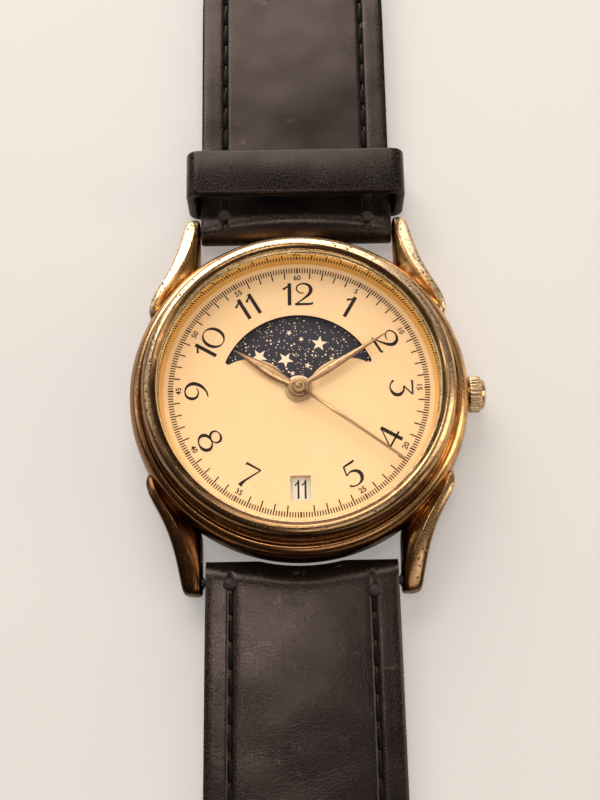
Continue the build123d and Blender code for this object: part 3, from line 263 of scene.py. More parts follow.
# %% Numbers and colours inside a tree
def maths(tree, operation, a, b=0.0):
    return node(tree, "ShaderNodeMath", {"operation": operation}, i0=a, i1=b).outputs[0]


def plus(tree, a, b):
    return maths(tree, "ADD", a, b)


def less(tree, a, b):
    return maths(tree, "SUBTRACT", a, b)


def times(tree, *factors):
    """The product of two or more numbers."""
    product = factors[0]
    for factor in factors[1:]:
        product = maths(tree, "MULTIPLY", product, factor)
    return product


def span(tree, value, low, high, to_low=0.0, to_high=1.0):
    """Maps low..high to to_low..to_high, clamped."""
    made = node(tree, "ShaderNodeMapRange", i0=value, i1=low, i2=high, i3=to_low, i4=to_high)
    return made.outputs[0]


def mixed(tree, factor, a, b):
    """A colour between two colours."""
    return node(tree, "ShaderNodeMix", {"data_type": "RGBA"}, i0=factor, i6=a, i7=b).outputs[2]


print("number tools ready")


# %% Patterns and masks
def object_place(tree):
    return tree.nodes.new("ShaderNodeTexCoord").outputs["Object"]


def wear_mask(tree):
    """How much a place is rubbed, which the mesh tools write on every piece as an attribute."""
    return node(tree, "ShaderNodeAttribute", {"attribute_name": "wear"}).outputs["Fac"]


def noise(tree, place, scale, detail=4, rough=0.5, distort=0.0):
    made = node(
        tree, "ShaderNodeTexNoise", Vector=place, Scale=scale, Detail=detail, Roughness=rough,
        Distortion=distort,
    )
    return made.outputs["Fac"]


def cells(tree, place, scale, feature):
    """The distance in a pattern of random cells: to their middles (F1) or to their edges."""
    settings = {"feature": feature}
    made = node(tree, "ShaderNodeTexVoronoi", settings, Vector=place, Scale=scale, Randomness=1.0)
    return made.outputs["Distance"]


def bump(tree, height, strength, distance):
    made = node(tree, "ShaderNodeBump", Strength=strength, Distance=distance, Height=height)
    return made.outputs["Normal"]


def give(tree, out, colour, rough, normal):
    """Links a group's three results."""
    for label, value in (("Color", colour), ("Roughness", rough), ("Normal", normal)):
        tree.links.new(value, out.inputs[label])


print("pattern tools ready")


# %% [markdown]
# ## Worn gold
# The case is base metal under a thin plating of gold. Fingers and cuffs rub it pale on the ridges, it
# tarnishes brown where nothing touches it, and where the plating breaks it pits black. The finish also
# paints shade: it turns browner and less rubbed towards the lower left of the watch. A scratch could be
# painted on by hand, but this finish is on a dozen pieces. The wear mask says where a piece turns a corner,
# noise breaks it up, and the two decide between three colours: plating, tarnish (also the colour of the
# painted shade) and rubbed gold.

# %% Worn gold
def tarnish_masks(tree, given, place, ridge, cloud):
    """Brown tarnish in clouds between the ridges, plus painted shade: more brown towards the lower left."""
    plain = less(tree, 1.0, given["Polish"])
    # Painted shade: a mask that grows towards the lower left of the watch and makes the gold browner there.
    down = node(tree, "ShaderNodeSeparateXYZ", i0=place)
    low_left = plus(tree, times(tree, down.outputs["X"], -0.55), times(tree, down.outputs["Y"], -0.83))
    low_left_shade = times(tree, span(tree, low_left, -0.003, 0.015, 0.0, 0.36), plain)
    hollow = less(tree, 1.0, span(tree, ridge, 0.0, 0.35))
    brown_and_shade = times(tree, span(tree, plus(tree, cloud, low_left_shade), 0.4, 0.66), given["Age"])
    kept = maths(tree, "MAXIMUM", hollow, times(tree, low_left_shade, 3.0))
    return plain, low_left_shade, times(tree, brown_and_shade, plus(tree, times(tree, kept, 0.5), 0.5))


def pit_mask(tree, given, place, ridge):
    """Small black pits in patches, most of them on the ridges."""
    patches = span(tree, noise(tree, place, 900, 3, 0.5), 0.44, 0.58)
    pits = times(tree, span(tree, cells(tree, place, 2100, "F1"), 0.38, 0.2), patches)
    return times(tree, pits, times(tree, span(tree, ridge, 0.05, 0.5, 0.15, 1.0), given["Wear"]))


def gold_group():
    """Plating rubbed pale on the ridges, tarnished brown between, pitted black, with painted shade at lower
    left.
    """
    tree, given, out = group(
        "Worn gold", Gold="Color", Tarnish="Color", Rubbed="Color", Wear="Float", Age="Float",
        Polish="Float", Satin="Float",
    )
    place, ridge = object_place(tree), wear_mask(tree)
    cloud, grain = noise(tree, place, 420, 5, 0.6), noise(tree, place, 3200, 4, 0.65)
    plain, low_left_shade, brown_and_shade = tarnish_masks(tree, given, place, ridge, cloud)
    pits = pit_mask(tree, given, place, ridge)
    worn = times(tree, ridge, given["Wear"], span(tree, grain, 0.3, 0.62))
    # Painted shade: less rubbed gold towards the lower left.
    worn = times(tree, worn, less(tree, 1.0, times(tree, low_left_shade, 2.6)))
    colour = mixed(tree, brown_and_shade, given["Gold"], given["Tarnish"])
    colour = mixed(tree, worn, colour, given["Rubbed"])
    colour = mixed(tree, pits, colour, (0.035, 0.02, 0.012, 1))
    rough = times(tree, span(tree, cloud, 0.3, 0.7, 0.14, 0.3), plus(tree, times(tree, plain, 0.8), 0.2))
    rough = plus(tree, rough, times(tree, worn, 0.18))
    rough = plus(tree, rough, times(tree, pits, 0.4))
    rough = plus(tree, rough, given["Satin"])
    height = less(tree, times(tree, grain, 0.35), pits)
    give(tree, out, colour, rough, bump(tree, height, times(tree, plain, 0.36), 0.00005))
    return tree


groups["gold"] = gold_group()
print("worn gold:", len(groups["gold"].nodes), "nodes")


# %% [markdown]
# ## Leather
# The strap is smooth black leather with a polished surface. Close up it has a fine grain, wide soft waves
# from being bent round a wrist, pale scuffs and frayed edges. The grain could be modelled, but it is a few
# hundredths of a millimetre deep, so a bump is enough: cells give the grain, one noise the waves, and
# another the scuffs.

# %% Leather
def leather_group():
    """Smooth finished leather: fine grain, soft waves, a few pale scuffs and rubbed edges."""
    tree, given, out = group("Leather", Base="Color", Rubbed="Color", Gloss="Float", Scuffs="Float")
    place, ridge = object_place(tree), wear_mask(tree)
    cloud, grain = noise(tree, place, 130, 4, 0.6), noise(tree, place, 5200, 3, 0.6)
    marks = times(tree, span(tree, noise(tree, place, 210, 8, 0.7, 1.2), 0.63, 0.72), given["Scuffs"])
    frayed = times(tree, ridge, span(tree, grain, 0.42, 0.64))
    colour = mixed(tree, span(tree, cloud, 0.35, 0.7, 0.0, 0.55), given["Base"], given["Rubbed"])
    colour = mixed(tree, times(tree, frayed, 0.5), colour, (0.16, 0.12, 0.1, 1))
    colour = mixed(tree, times(tree, marks, 0.35), colour, (0.3, 0.24, 0.21, 1))
    rough = less(tree, span(tree, cloud, 0.3, 0.7, 0.5, 0.64), times(tree, given["Gloss"], 0.34))
    rough = plus(tree, rough, times(tree, frayed, 0.3))
    pores = cells(tree, place, 3400, "DISTANCE_TO_EDGE")
    height = plus(tree, times(tree, span(tree, pores, 0.0, 0.12), 0.4), grain)
    height = plus(tree, height, times(tree, cloud, 3.0))
    height = plus(tree, height, times(tree, noise(tree, place, 75, 2, 0.4), 60.0))
    give(tree, out, colour, rough, bump(tree, height, 0.16, 0.00006))
    return tree


groups["leather"] = leather_group()
print("leather:", len(groups["leather"].nodes), "nodes")


# %% [markdown]
# ## Lacquer
# The dial is sprayed cream and the numbers are printed on it. Paint looks plain, yet a single flat colour
# looks like plastic: real lacquer changes tone slowly, has a faint orange-peel surface and gathers a speck
# of dust. The same group serves the dial, the print, the night sky, the stars and the dates.

# %% Lacquer
def paint_group():
    """Satin lacquer with a slow change of tone, specks of dust and a faint orange-peel surface."""
    tree, given, out = group("Lacquer", Base="Color", Tone="Color", Specks="Float", Peel="Float")
    place = object_place(tree)
    cloud, peel = noise(tree, place, 90, 3, 0.5), noise(tree, place, 1800, 2, 0.5)
    specks = times(tree, span(tree, noise(tree, place, 1500, 1, 0.4), 0.8, 0.86), given["Specks"])
    colour = mixed(tree, span(tree, cloud, 0.3, 0.7, 0.0, 0.6), given["Base"], given["Tone"])
    colour = mixed(tree, specks, colour, (0.2, 0.12, 0.06, 1))
    rough = span(tree, cloud, 0.3, 0.7, 0.16, 0.24)
    give(tree, out, colour, rough, bump(tree, peel, times(tree, given["Peel"], 0.2), 0.00002))
    return tree


groups["paint"] = paint_group()
print("lacquer:", len(groups["paint"].nodes), "nodes")


# %% [markdown]
# ## Fine metal
# The case back and the wheels are turned on a lathe, which leaves fine rings round the case's axis. A wave
# texture of rings about Z draws them. With its lines turned off, the same group serves moulded plastic,
# rubber and the floor.

# %% Fine metal
def metal_group():
    """Turned metal and moulded parts: fine lines round the case's axis, or a grain alone, with stains."""
    tree, given, out = group("Fine metal", Base="Color", Stain="Color", Lines="Float", Rough="Float")
    place = object_place(tree)
    cloud, grain = noise(tree, place, 260, 4, 0.6), noise(tree, place, 6000, 3, 0.7)
    about_z = {"wave_type": "RINGS", "rings_direction": "Z"}
    rings = node(tree, "ShaderNodeTexWave", about_z, Vector=place, Scale=1500, Distortion=1.2, Detail=3.0)
    colour = mixed(tree, span(tree, cloud, 0.42, 0.75, 0.0, 0.7), given["Base"], given["Stain"])
    rough = plus(tree, given["Rough"], span(tree, grain, 0.2, 0.8, -0.05, 0.1))
    height = plus(tree, times(tree, rings.outputs["Fac"], given["Lines"]), times(tree, grain, 0.5))
    give(tree, out, colour, rough, bump(tree, height, 0.2, 0.00002))
    return tree


groups["metal"] = metal_group()
print("fine metal:", len(groups["metal"].nodes), "nodes")


# %% [markdown]
# ## Materials
# Each finish on the watch is a Principled shader fed by one of the groups. The constants that belong to the
# whole finish, such as metallic or the strength of its mirror, stay on the shader's own sockets, and the
# group gives what changes from place to place.

# %% Material maker
mats = {}


def material(name, kind, shader=None, **inputs):
    """A material whose Principled shader takes colour, roughness and normal from one of the groups."""
    made = bpy.data.materials.new(name)
    made.use_nodes = True
    tree = made.node_tree
    principled = tree.nodes["Principled BSDF"]
    for key, value in (shader or {}).items():
        principled.inputs[key].default_value = value
    source = node(tree, "ShaderNodeGroup", {"node_tree": groups[kind]})
    for key, value in inputs.items():
        source.inputs[key].default_value = (*value, 1) if isinstance(value, tuple) else value
    for output, socket in (("Color", "Base Color"), ("Roughness", "Roughness"), ("Normal", "Normal")):
        tree.links.new(source.outputs[output], principled.inputs[socket])
    return made


print("material maker ready, groups:", ", ".join(groups))


# %% [markdown]
# ## Golds
# Case, bezel and lugs are plated together, but they show different reds and yellows, because each wears and
# tarnishes in its own way. The hands are a duller bronze gold, brushed rather than polished, which the
# satin amount gives.

# %% Golds
def gold(name, plating, tarnish_and_shade, wear, age, polish=0.0, rubbed=(0.94, 0.8, 0.58), satin=0.0):
    return material(
        name, "gold", {"Metallic": 1.0}, Gold=plating, Tarnish=tarnish_and_shade, Rubbed=rubbed, Wear=wear, Age=age,
        Polish=polish, Satin=satin,
    )


mats["case"] = gold("case gold", (0.8, 0.45, 0.17), (0.14, 0.055, 0.02), 0.5, 0.85)
mats["bezel"] = gold("bezel gold", (0.72, 0.44, 0.2), (0.15, 0.075, 0.035), 1.0, 0.85)
mats["lug"] = gold("lug gold", (0.76, 0.41, 0.13), (0.1, 0.04, 0.014), 1.0, 0.95)
mats["wall"] = gold("dial wall gold", (0.86, 0.62, 0.2), (0.8, 0.52, 0.14), 0.9, 0.3, 1.0, (0.98, 0.8, 0.5))
mats["hands"] = gold(
    "hand gold", (0.44, 0.26, 0.135), (0.2, 0.1, 0.045), 0.4, 1.0, 0.45, (0.62, 0.42, 0.25), satin=0.2
)
mats["seconds"] = gold(
    "seconds hand gold", (0.36, 0.235, 0.11), (0.24, 0.14, 0.065), 0.0, 0.8, 0.6, satin=0.2
)
mats["crown"] = gold("crown gold", (0.6, 0.37, 0.16), (0.16, 0.08, 0.035), 0.8, 1.0)
mats["buckle"] = gold("buckle gold", (0.8, 0.52, 0.22), (0.4, 0.2, 0.07), 0.6, 0.5, 0.3)
print(len(mats), "golds")


# %% [markdown]
# ## Paints
# The dial is a warm cream. Its print is nearly black, and kept from mirroring the lamps by a low specular
# level, so that thin ticks don't vanish in a highlight. The sky is navy, its stars cream, and the date ring
# off-white.

# %% Paints
def paint(name, base, tone, specks, peel, specular=0.5):
    return material(
        name, "paint", {"Specular IOR Level": specular}, Base=base, Tone=tone, Specks=specks, Peel=peel
    )


mats["dial"] = paint("dial cream", (0.668, 0.447, 0.237), (0.69, 0.47, 0.257), 0.6, 0.3, 0.25)
mats["print"] = paint("dial print", (0.012, 0.007, 0.005), (0.02, 0.012, 0.009), 0.0, 0.5, 0.15)
mats["sky"] = paint("sky navy", (0.027, 0.025, 0.036), (0.035, 0.03, 0.04), 0.0, 0.3, 0.15)
mats["star"] = paint("star cream", (0.7, 0.57, 0.39), (0.6, 0.48, 0.32), 0.2, 0.5)
mats["date"] = paint("date ring white", (0.62, 0.56, 0.46), (0.56, 0.5, 0.41), 0.2, 0.5)
print("paints made,", len(mats), "materials so far")


# %% [markdown]
# ## Leathers and threads
# The strap's outer leather is black with a warm sheen, which the specular tint gives. The keepers are
# blacker and less scuffed, and the lining is brown and matte. Thread takes the leather group too, with no
# gloss, and its sealed ends are given a paler colour.

# %% Leathers and threads
def leather(name, base, rubbed, gloss, scuffs, shader):
    return material(name, "leather", shader, Base=base, Rubbed=rubbed, Gloss=gloss, Scuffs=scuffs)


mats["leather"] = leather(
    "black leather", (0.0045, 0.0034, 0.0032), (0.008, 0.006, 0.0055), 1.0, 0.9,
    {"Specular IOR Level": 0.42, "Specular Tint": (1, 0.76, 0.68, 1)},
)
mats["keeper"] = leather(
    "keeper leather", (0.0025, 0.002, 0.002), (0.0045, 0.0035, 0.0035), 1.15, 0.25,
    {"Specular IOR Level": 0.24, "Specular Tint": (1, 0.8, 0.72, 1)},
)
mats["lining"] = leather(
    "lining leather", (0.05, 0.036, 0.03), (0.075, 0.055, 0.045), 0.0, 0.4, {"Sheen Weight": 0.2}
)
mats["thread"] = leather(
    "thread", (0.004, 0.003, 0.003), (0.009, 0.007, 0.006), 0.0, 0.0, {"Specular IOR Level": 0.1}
)
mats["knot"] = leather(
    "sealed thread", (0.03, 0.024, 0.022), (0.06, 0.048, 0.043), 0.2, 0.6, {"Specular IOR Level": 0.25}
)
print("leathers made,", len(mats), "materials so far")


# %% [markdown]
# ## Metals, plastics and rubber
# These are mostly inside the case: steel and brass for the movement, a copper coil, plastic wheels and
# holder, a green board and black gaskets. Nobody sees them until the watch is taken apart, but a library
# part is taken apart often.

# %% Metals, plastics and rubber
def metal(name, base, stain, lines, rough, metallic=1.0):
    return material(name, "metal", {"Metallic": metallic}, Base=base, Stain=stain, Lines=lines, Rough=rough)


mats["collar"] = metal("collar", (0.62, 0.45, 0.3), (0.5, 0.33, 0.2), 0.3, 0.34)
mats["back"] = metal("case back steel", (0.56, 0.55, 0.53), (0.46, 0.44, 0.41), 1.0, 0.26)
mats["steel"] = metal("steel", (0.6, 0.6, 0.6), (0.48, 0.47, 0.46), 0.0, 0.22)
mats["dull"] = metal("dull steel", (0.07, 0.06, 0.055), (0.04, 0.035, 0.03), 0.0, 0.6)
mats["brass"] = metal("brass", (0.76, 0.54, 0.24), (0.6, 0.4, 0.17), 0.5, 0.24)
mats["copper"] = metal("copper wire", (0.7, 0.27, 0.1), (0.45, 0.16, 0.06), 0.0, 0.3)
mats["plastic"] = metal("moulded plastic", (0.78, 0.75, 0.67), (0.7, 0.66, 0.56), 0.0, 0.42, 0.0)
mats["holder"] = metal("holder plastic", (0.74, 0.73, 0.7), (0.66, 0.65, 0.61), 0.0, 0.5, 0.0)
mats["board"] = metal("circuit board", (0.02, 0.13, 0.05), (0.03, 0.2, 0.08), 0.0, 0.35, 0.0)
mats["nylon"] = metal("crystal seal nylon", (0.9, 0.66, 0.34), (0.8, 0.55, 0.27), 0.0, 0.25, 0.0)
mats["rubber"] = metal("gasket rubber", (0.02, 0.02, 0.02), (0.035, 0.033, 0.03), 0.0, 0.6, 0.0)
mats["floor"] = metal("floor", (0.8, 0.76, 0.73), (0.78, 0.74, 0.71), 0.0, 0.75, 0.0)
print("metals made,", len(mats), "materials so far")


# %% [markdown]
# ## The floor that the camera sees
# A matte floor falls off to grey away from the lamps. More light would fix that and bleach the watch, so
# the camera sees another shader instead: a darker floor with a little glow, which stays pale far away and
# still shows the watch's shadow. Every other ray, such as one mirrored in the gold, meets the plain floor.

# %% Floor shader
floor_tree = mats["floor"].node_tree
table = node(floor_tree, "ShaderNodeBsdfDiffuse", Color=(0.5, 0.475, 0.455, 1))
glow = node(floor_tree, "ShaderNodeEmission", Color=(0.3, 0.283, 0.27, 1), Strength=1.0)
both = node(floor_tree, "ShaderNodeAddShader", i0=table.outputs[0], i1=glow.outputs[0])
camera_sees = floor_tree.nodes.new("ShaderNodeLightPath").outputs["Is Camera Ray"]
plain_floor = floor_tree.nodes["Principled BSDF"].outputs[0]
choice = node(floor_tree, "ShaderNodeMixShader", i0=camera_sees, i1=plain_floor, i2=both.outputs[0])
floor_tree.links.new(choice.outputs[0], floor_tree.nodes["Material Output"].inputs["Surface"])
floor_mesh.materials.append(mats["floor"])
print("floor shader:", len(floor_tree.nodes), "nodes")


# %% [markdown]
# ## Crystal
# The crystal is a flat mineral glass. A transmission shader alone would leave the dial in the dark, because
# Cycles can't aim at a lamp through glass that bends the light, and few rays find it by chance. For shadow
# rays the glass is therefore swapped for a clear shader, which lets the lamps reach the dial. Faint smears
# change its roughness.

# %% Crystal shader
def glass():
    """Clear mineral glass that lets the light through to the dial."""
    made = bpy.data.materials.new("crystal glass")
    made.use_nodes = True
    tree = made.node_tree
    principled = tree.nodes["Principled BSDF"]
    constants = {"Base Color": (1, 1, 1, 1), "Transmission Weight": 1.0, "Metallic": 0.0, "IOR": 1.36}
    for key, value in constants.items():
        principled.inputs[key].default_value = value
    smears = noise(tree, object_place(tree), 150, 5, 0.6)
    tree.links.new(span(tree, smears, 0.55, 0.8, 0.0, 0.03), principled.inputs["Roughness"])
    clear = tree.nodes.new("ShaderNodeBsdfTransparent").outputs[0]
    shadow = tree.nodes.new("ShaderNodeLightPath").outputs["Is Shadow Ray"]
    choice = node(tree, "ShaderNodeMixShader", i0=shadow, i1=principled.outputs[0], i2=clear)
    tree.links.new(choice.outputs[0], tree.nodes["Material Output"].inputs["Surface"])
    return made


mats["glass"] = glass()
print(len(mats), "materials")


# %% [markdown]
# ## Tools for meshes
# Most of the watch is turned or swept: a section is carried round an axis or along a line. Blender's Screw
# and curve tools could do that, but plain lists of points and faces are easier to wear, mark and join. A
# piece is written in millimetres and becomes metres only when its mesh is made. Its doubles are merged and
# its normals recalculated outward, because a closed shape that is built from lists may well come out inside
# out.

# %% Faces of swept shapes
def grid_faces(rows, columns, wrap_rows=False, wrap_columns=False):
    """Faces of a grid of points that is written row by row."""
    faces = []
    for r in range(rows if wrap_rows else rows - 1):
        for c in range(columns if wrap_columns else columns - 1):
            r2, c2 = (r + 1) % rows, (c + 1) % columns
            faces.append((r * columns + c, r * columns + c2, r2 * columns + c2, r2 * columns + c))
    return faces


def tube_faces(rows, columns, flip_caps=False):
    """Faces of a row of closed sections, with a cap at each end."""
    caps = [tuple(range(columns)), tuple((rows - 1) * columns + c for c in reversed(range(columns)))]
    if flip_caps:
        caps = [tuple(reversed(cap)) for cap in caps]
    return grid_faces(rows, columns, False, True) + caps


def joined(*meshes):
    """Several (points, faces) pairs as one."""
    points, faces = [], []
    for more_points, more_faces in meshes:
        faces += [tuple(i + len(points) for i in face) for face in more_faces]
        points += [tuple(p) for p in more_points]
    return points, faces


def circle(radius, count, x=0.0, y=0.0):
    """Points of a flat circle."""
    angles = [k * math.pi / (count / 2) for k in range(count)]
    return [(x + radius * math.cos(a), y + radius * math.sin(a)) for a in angles]


print("face tools ready")


# %% Outlines and turned shapes
def rounded(corners, radius, steps=4, closed=True):
    """A polyline with each corner drawn as a short curve."""
    points = []
    count = len(corners)
    for i, corner in enumerate(corners):
        here = Vector(corner)
        if not closed and i in (0, count - 1):
            points.append(here)
            continue
        before, after = Vector(corners[i - 1]), Vector(corners[(i + 1) % count])
        reach_in = radius[i] if isinstance(radius, (list, tuple)) else radius
        first = here + (before - here).normalized() * min(reach_in, (before - here).length * 0.48)
        last = here + (after - here).normalized() * min(reach_in, (after - here).length * 0.48)
        for s in range(steps + 1):
            t = s / steps
            points.append(first * (1 - t) ** 2 + here * 2 * t * (1 - t) + last * t**2)
    return points


def lathe(profile, segments=220, closed=True):
    """Points and faces of a profile of (radius, height) turned round the case's axis."""
    points = []
    for s in range(segments):
        a = 2 * math.pi * s / segments
        points += [(p[0] * math.cos(a), p[0] * math.sin(a), p[1]) for p in profile]
    return points, grid_faces(segments, len(profile), True, closed)


def slab(outline, z, thick):
    """Points and faces of a flat shape with a small thickness."""
    count = len(outline)
    points = [(x, y, z) for x, y in outline] + [(x, y, z + thick) for x, y in outline]
    faces = [tuple(reversed(range(count))), tuple(range(count, count * 2))]
    faces += [(i, (i + 1) % count, count + (i + 1) % count, count + i) for i in range(count)]
    return points, faces


print("outline tools ready")


# %% [markdown]
# ## Tools for wear
# Gold and leather wear first where the surface turns outward. Pointiness finds such places while Cycles
# renders, but what it gives depends on how dense the mesh is there. So each piece gets an attribute called
# wear, a number at every point, worked out once from the angles of its edges or from a rule that gives the
# wear by place. On the case, bezel and lugs the rules also paint highlight, with more wear towards 12
# o'clock.

# %% Wear marks
def set_wear(mesh, values):
    attribute = mesh.attributes.get("wear") or mesh.attributes.new("wear", "FLOAT", "POINT")
    attribute.data.foreach_set("value", np.clip(values, 0, 1).astype(np.float32))


def near(value, centre, width):
    """1 at the centre, falling smoothly to 0 at a width from it."""
    return ease(clamp(1 - abs(value - centre) / width))


def mark_wear(mesh, amount):
    """Writes how sharply the surface turns outward at each point, smoothed, for the wear to follow. An amount
    that is a function gives the wear from the place in millimetres instead."""
    if callable(amount):
        set_wear(mesh, [amount(*(c / MM for c in v.co)) for v in mesh.vertices])
        return
    tidy = bmesh.new()
    tidy.from_mesh(mesh)
    ends = np.array([[e.verts[0].index, e.verts[1].index] for e in tidy.edges])
    turns = np.array([e.calc_face_angle_signed(0) if len(e.link_faces) == 2 else 0 for e in tidy.edges])
    tidy.free()
    total = np.zeros(len(mesh.vertices))
    for side in (0, 1):
        np.add.at(total, ends[:, side], turns)
    sharp = np.clip(total / math.radians(60), 0, 1)
    for _ in range(2):
        spread, weight = sharp.copy(), np.ones(len(sharp))
        for a, b in ((0, 1), (1, 0)):
            np.add.at(spread, ends[:, a], sharp[ends[:, b]])
            np.add.at(weight, ends[:, a], 1)
        sharp = np.maximum(sharp * 0.7, spread / weight)
    set_wear(mesh, sharp * amount)


print("wear tools ready")


# %% Making and dressing a piece
def merged(mesh, distance):
    """Merges a mesh's doubles and turns its faces outward."""
    tidy = bmesh.new()
    tidy.from_mesh(mesh)
    bmesh.ops.remove_doubles(tidy, verts=tidy.verts, dist=distance)
    bmesh.ops.recalc_face_normals(tidy, faces=tidy.faces)
    tidy.to_mesh(mesh)
    tidy.free()


def mesh_of(name, points, faces):
    """A mesh from points in millimetres."""
    mesh = bpy.data.meshes.new(name)
    mesh.from_pydata([tuple(v * MM for v in p) for p in points], [], faces)
    return mesh


def dress(obj, body, finish, stands_for=(), smooth=True, wear=1.0):
    """Gives a made object its finish, wear mask, body and the nodes it stands for."""
    obj.data.materials.clear()
    obj.data.materials.append(mats[finish])
    for face in obj.data.polygons:
        face.use_smooth = smooth
    if wear:
        mark_wear(obj.data, wear)
    if stands_for:
        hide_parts(*stands_for)
    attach(obj, body)
    return obj


def piece(name, points, faces, body, finish, stands_for=(), smooth=True, wear=1.0):
    """A mesh piece from points in millimetres, riding on a body, with its edge wear marked."""
    mesh = mesh_of(name, points, faces)
    merged(mesh, 1e-7)
    return dress(link(bpy.data.objects.new(name, mesh)), body, finish, stands_for, smooth, wear)


print("piece tools ready")


# %% Modifiers and softened solids
def applied(obj, kind, **settings):
    """The object with a modifier applied, as a plain mesh."""
    modifier = obj.modifiers.new(kind.lower(), kind)
    for key, value in settings.items():
        setattr(modifier, key, value)
    bpy.context.view_layer.update()
    evaluated = obj.evaluated_get(bpy.context.evaluated_depsgraph_get())
    mesh = bpy.data.meshes.new_from_object(evaluated)
    obj.modifiers.clear()
    obj.data = mesh
    return obj


def softened(cad_node, width, finish, segments=2):
    """A copy of a CAD node with its sharp edges rounded, standing for it. A node is loose triangles, so the
    copy is merged and its flat triangles are joined before the bevel."""
    mesh = nodes[cad_node].data.copy()
    tidy = bmesh.new()
    tidy.from_mesh(mesh)
    bmesh.ops.remove_doubles(tidy, verts=tidy.verts, dist=2e-6)
    bmesh.ops.dissolve_limit(tidy, angle_limit=math.radians(1), verts=tidy.verts, edges=tidy.edges)
    tidy.to_mesh(mesh)
    tidy.free()
    for extra in [a.name for a in mesh.attributes if a.name.startswith("custom")]:
        mesh.attributes.remove(mesh.attributes[extra])
    obj = link(bpy.data.objects.new(cad_node + "_finish", mesh))
    sharp = math.radians(22)
    applied(obj, "BEVEL", width=width * MM, segments=segments, limit_method="ANGLE", angle_limit=sharp)
    return dress(obj, nodes[cad_node]["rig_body"], finish, (cad_node,))


print("modifier tools ready")


# %% [markdown]
# ## Case
# The case middle is a turned ring with a rounded belly, a groove under the bezel and a recess for the case
# back. Its solid is right in form, but its corners are sharp, and gold shows its shape only by the
# highlights on soft corners. The profile is therefore drawn again as a polyline with a radius for each
# corner, and turned round the axis. Wear is put on the ridge above the belly by a rule, because the edge
# angles of so smooth a ring say nothing. The rule also paints highlight: it makes the ridge paler towards
# 12 o'clock and the left.

# %% Case ring
def ring_wear(ridge_r, width, low_z, share):
    """Wear on a turned ridge round the case, made paler towards 12 o'clock and the left as painted highlight.
    """
    def rule(x, y, z):
        # Painted highlight: the ridge is rubbed paler towards 12 o'clock and the left, and less towards 6.
        lit_side_share = 0.35 + 0.65 * clamp((y - 0.5 * x + 10) / 18)
        return near(math.hypot(x, y), ridge_r, width) * share * lit_side_share * clamp((z - low_z) / 0.3)

    return rule


back_seat_r, neck_r = 14.4, 15.42
neck_z, recess_z = 6.12, 0.95
case_profile = rounded(
    [
        (back_seat_r, recess_z), (15.15, recess_z), (15.15, 0.3), (15.6, 0.35), (16.3, 1.3), (case_r, 2.7),
        (case_r, 4.1), (16.84, 4.75), (16.68, 5.25), (16.44, 5.6), (16.16, 5.8), (15.92, 5.86), (15.76, 5.8),
        (15.62, 5.62), (15.5, 5.66), (neck_r, neck_z), (back_seat_r, neck_z),
    ],
    [0.05, 0.05, 0.05, 0.25, 0.5, 0.6, 0.3, 0.2, 0.2, 0.2, 0.15, 0.1, 0.08, 0.05, 0.04, 0.05, 0.05],
)
belly_wear_and_highlight = ring_wear(16.15, 0.5, 5.2, 0.7)
piece("case_ring", *lathe(case_profile), "watch_case", "case", ("case_middle",), wear=belly_wear_and_highlight)
print("case ring,", len(case_profile), "points in its profile")


# %% [markdown]
# ## Lugs
# Four lugs hold the strap. Each grows out of the flank, curls in along it and runs down to a rounded tip.
# Its outer side is a flat facet that meets the falling inner side in a sharp ridge, and that ridge is what
# the eye follows. A box bent by hand would lose it, so the lug is lofted through sections at stations along
# Y, each with its own widths and heights. Subdivision rounds everything but the ridge, whose edges are
# creased. One lug is drawn and the other three are mirrored from it, with the two lower ones a little
# closer in, as their strap half is narrower.

# %% Lug sections
lug_stations = [
    # y, inner x, outer x, underside z, ridge z, width of the outer facet, fall and step of the inner facet
    (7.6, 13.3, 14.5, 2.4, 3.9, 0.3, 0.4, 0.05),
    (7.95, 13.1, 14.86, 2.2, 4.4, 0.5, 0.6, 0.05),
    (8.6, 12.7, 15.12, 2.0, 4.85, 0.68, 0.8, 0.05),
    (9.5, 12.1, 15.05, 1.75, 5.15, 0.82, 1.0, 0.05),
    (10.5, 11.4, 14.66, 1.45, 5.28, 0.93, 1.15, 0.1),
    (11.6, 10.75, 14.05, 1.2, 5.28, 1.02, 1.15, 0.2),
    (12.7, 10.2, 13.46, 1.05, 5.18, 1.1, 1.05, 0.28),
    (13.8, 10.02, 12.98, 0.97, 5.02, 1.2, 0.85, 0.34),
    (15.0, 10.02, 12.56, 0.93, 4.8, 1.28, 0.62, 0.34),
    (16.3, 10.02, 12.2, 0.9, 4.44, 1.32, 0.42, 0.28),
    (17.6, 10.02, 11.94, 0.88, 4.02, 1.34, 0.3, 0.22),
    (18.7, 10.02, 11.72, 0.88, 3.6, 1.28, 0.22, 0.16),
    (19.4, 10.03, 11.56, 0.92, 3.3, 1.1, 0.18, 0.12),
    (19.72, 10.1, 11.32, 1.15, 3.05, 0.82, 0.15, 0.08),
    (19.8, 10.3, 11.05, 1.5, 2.8, 0.4, 0.1, 0.05),
]
OUTER, RIDGE_Z, FACET = 2, 4, 5


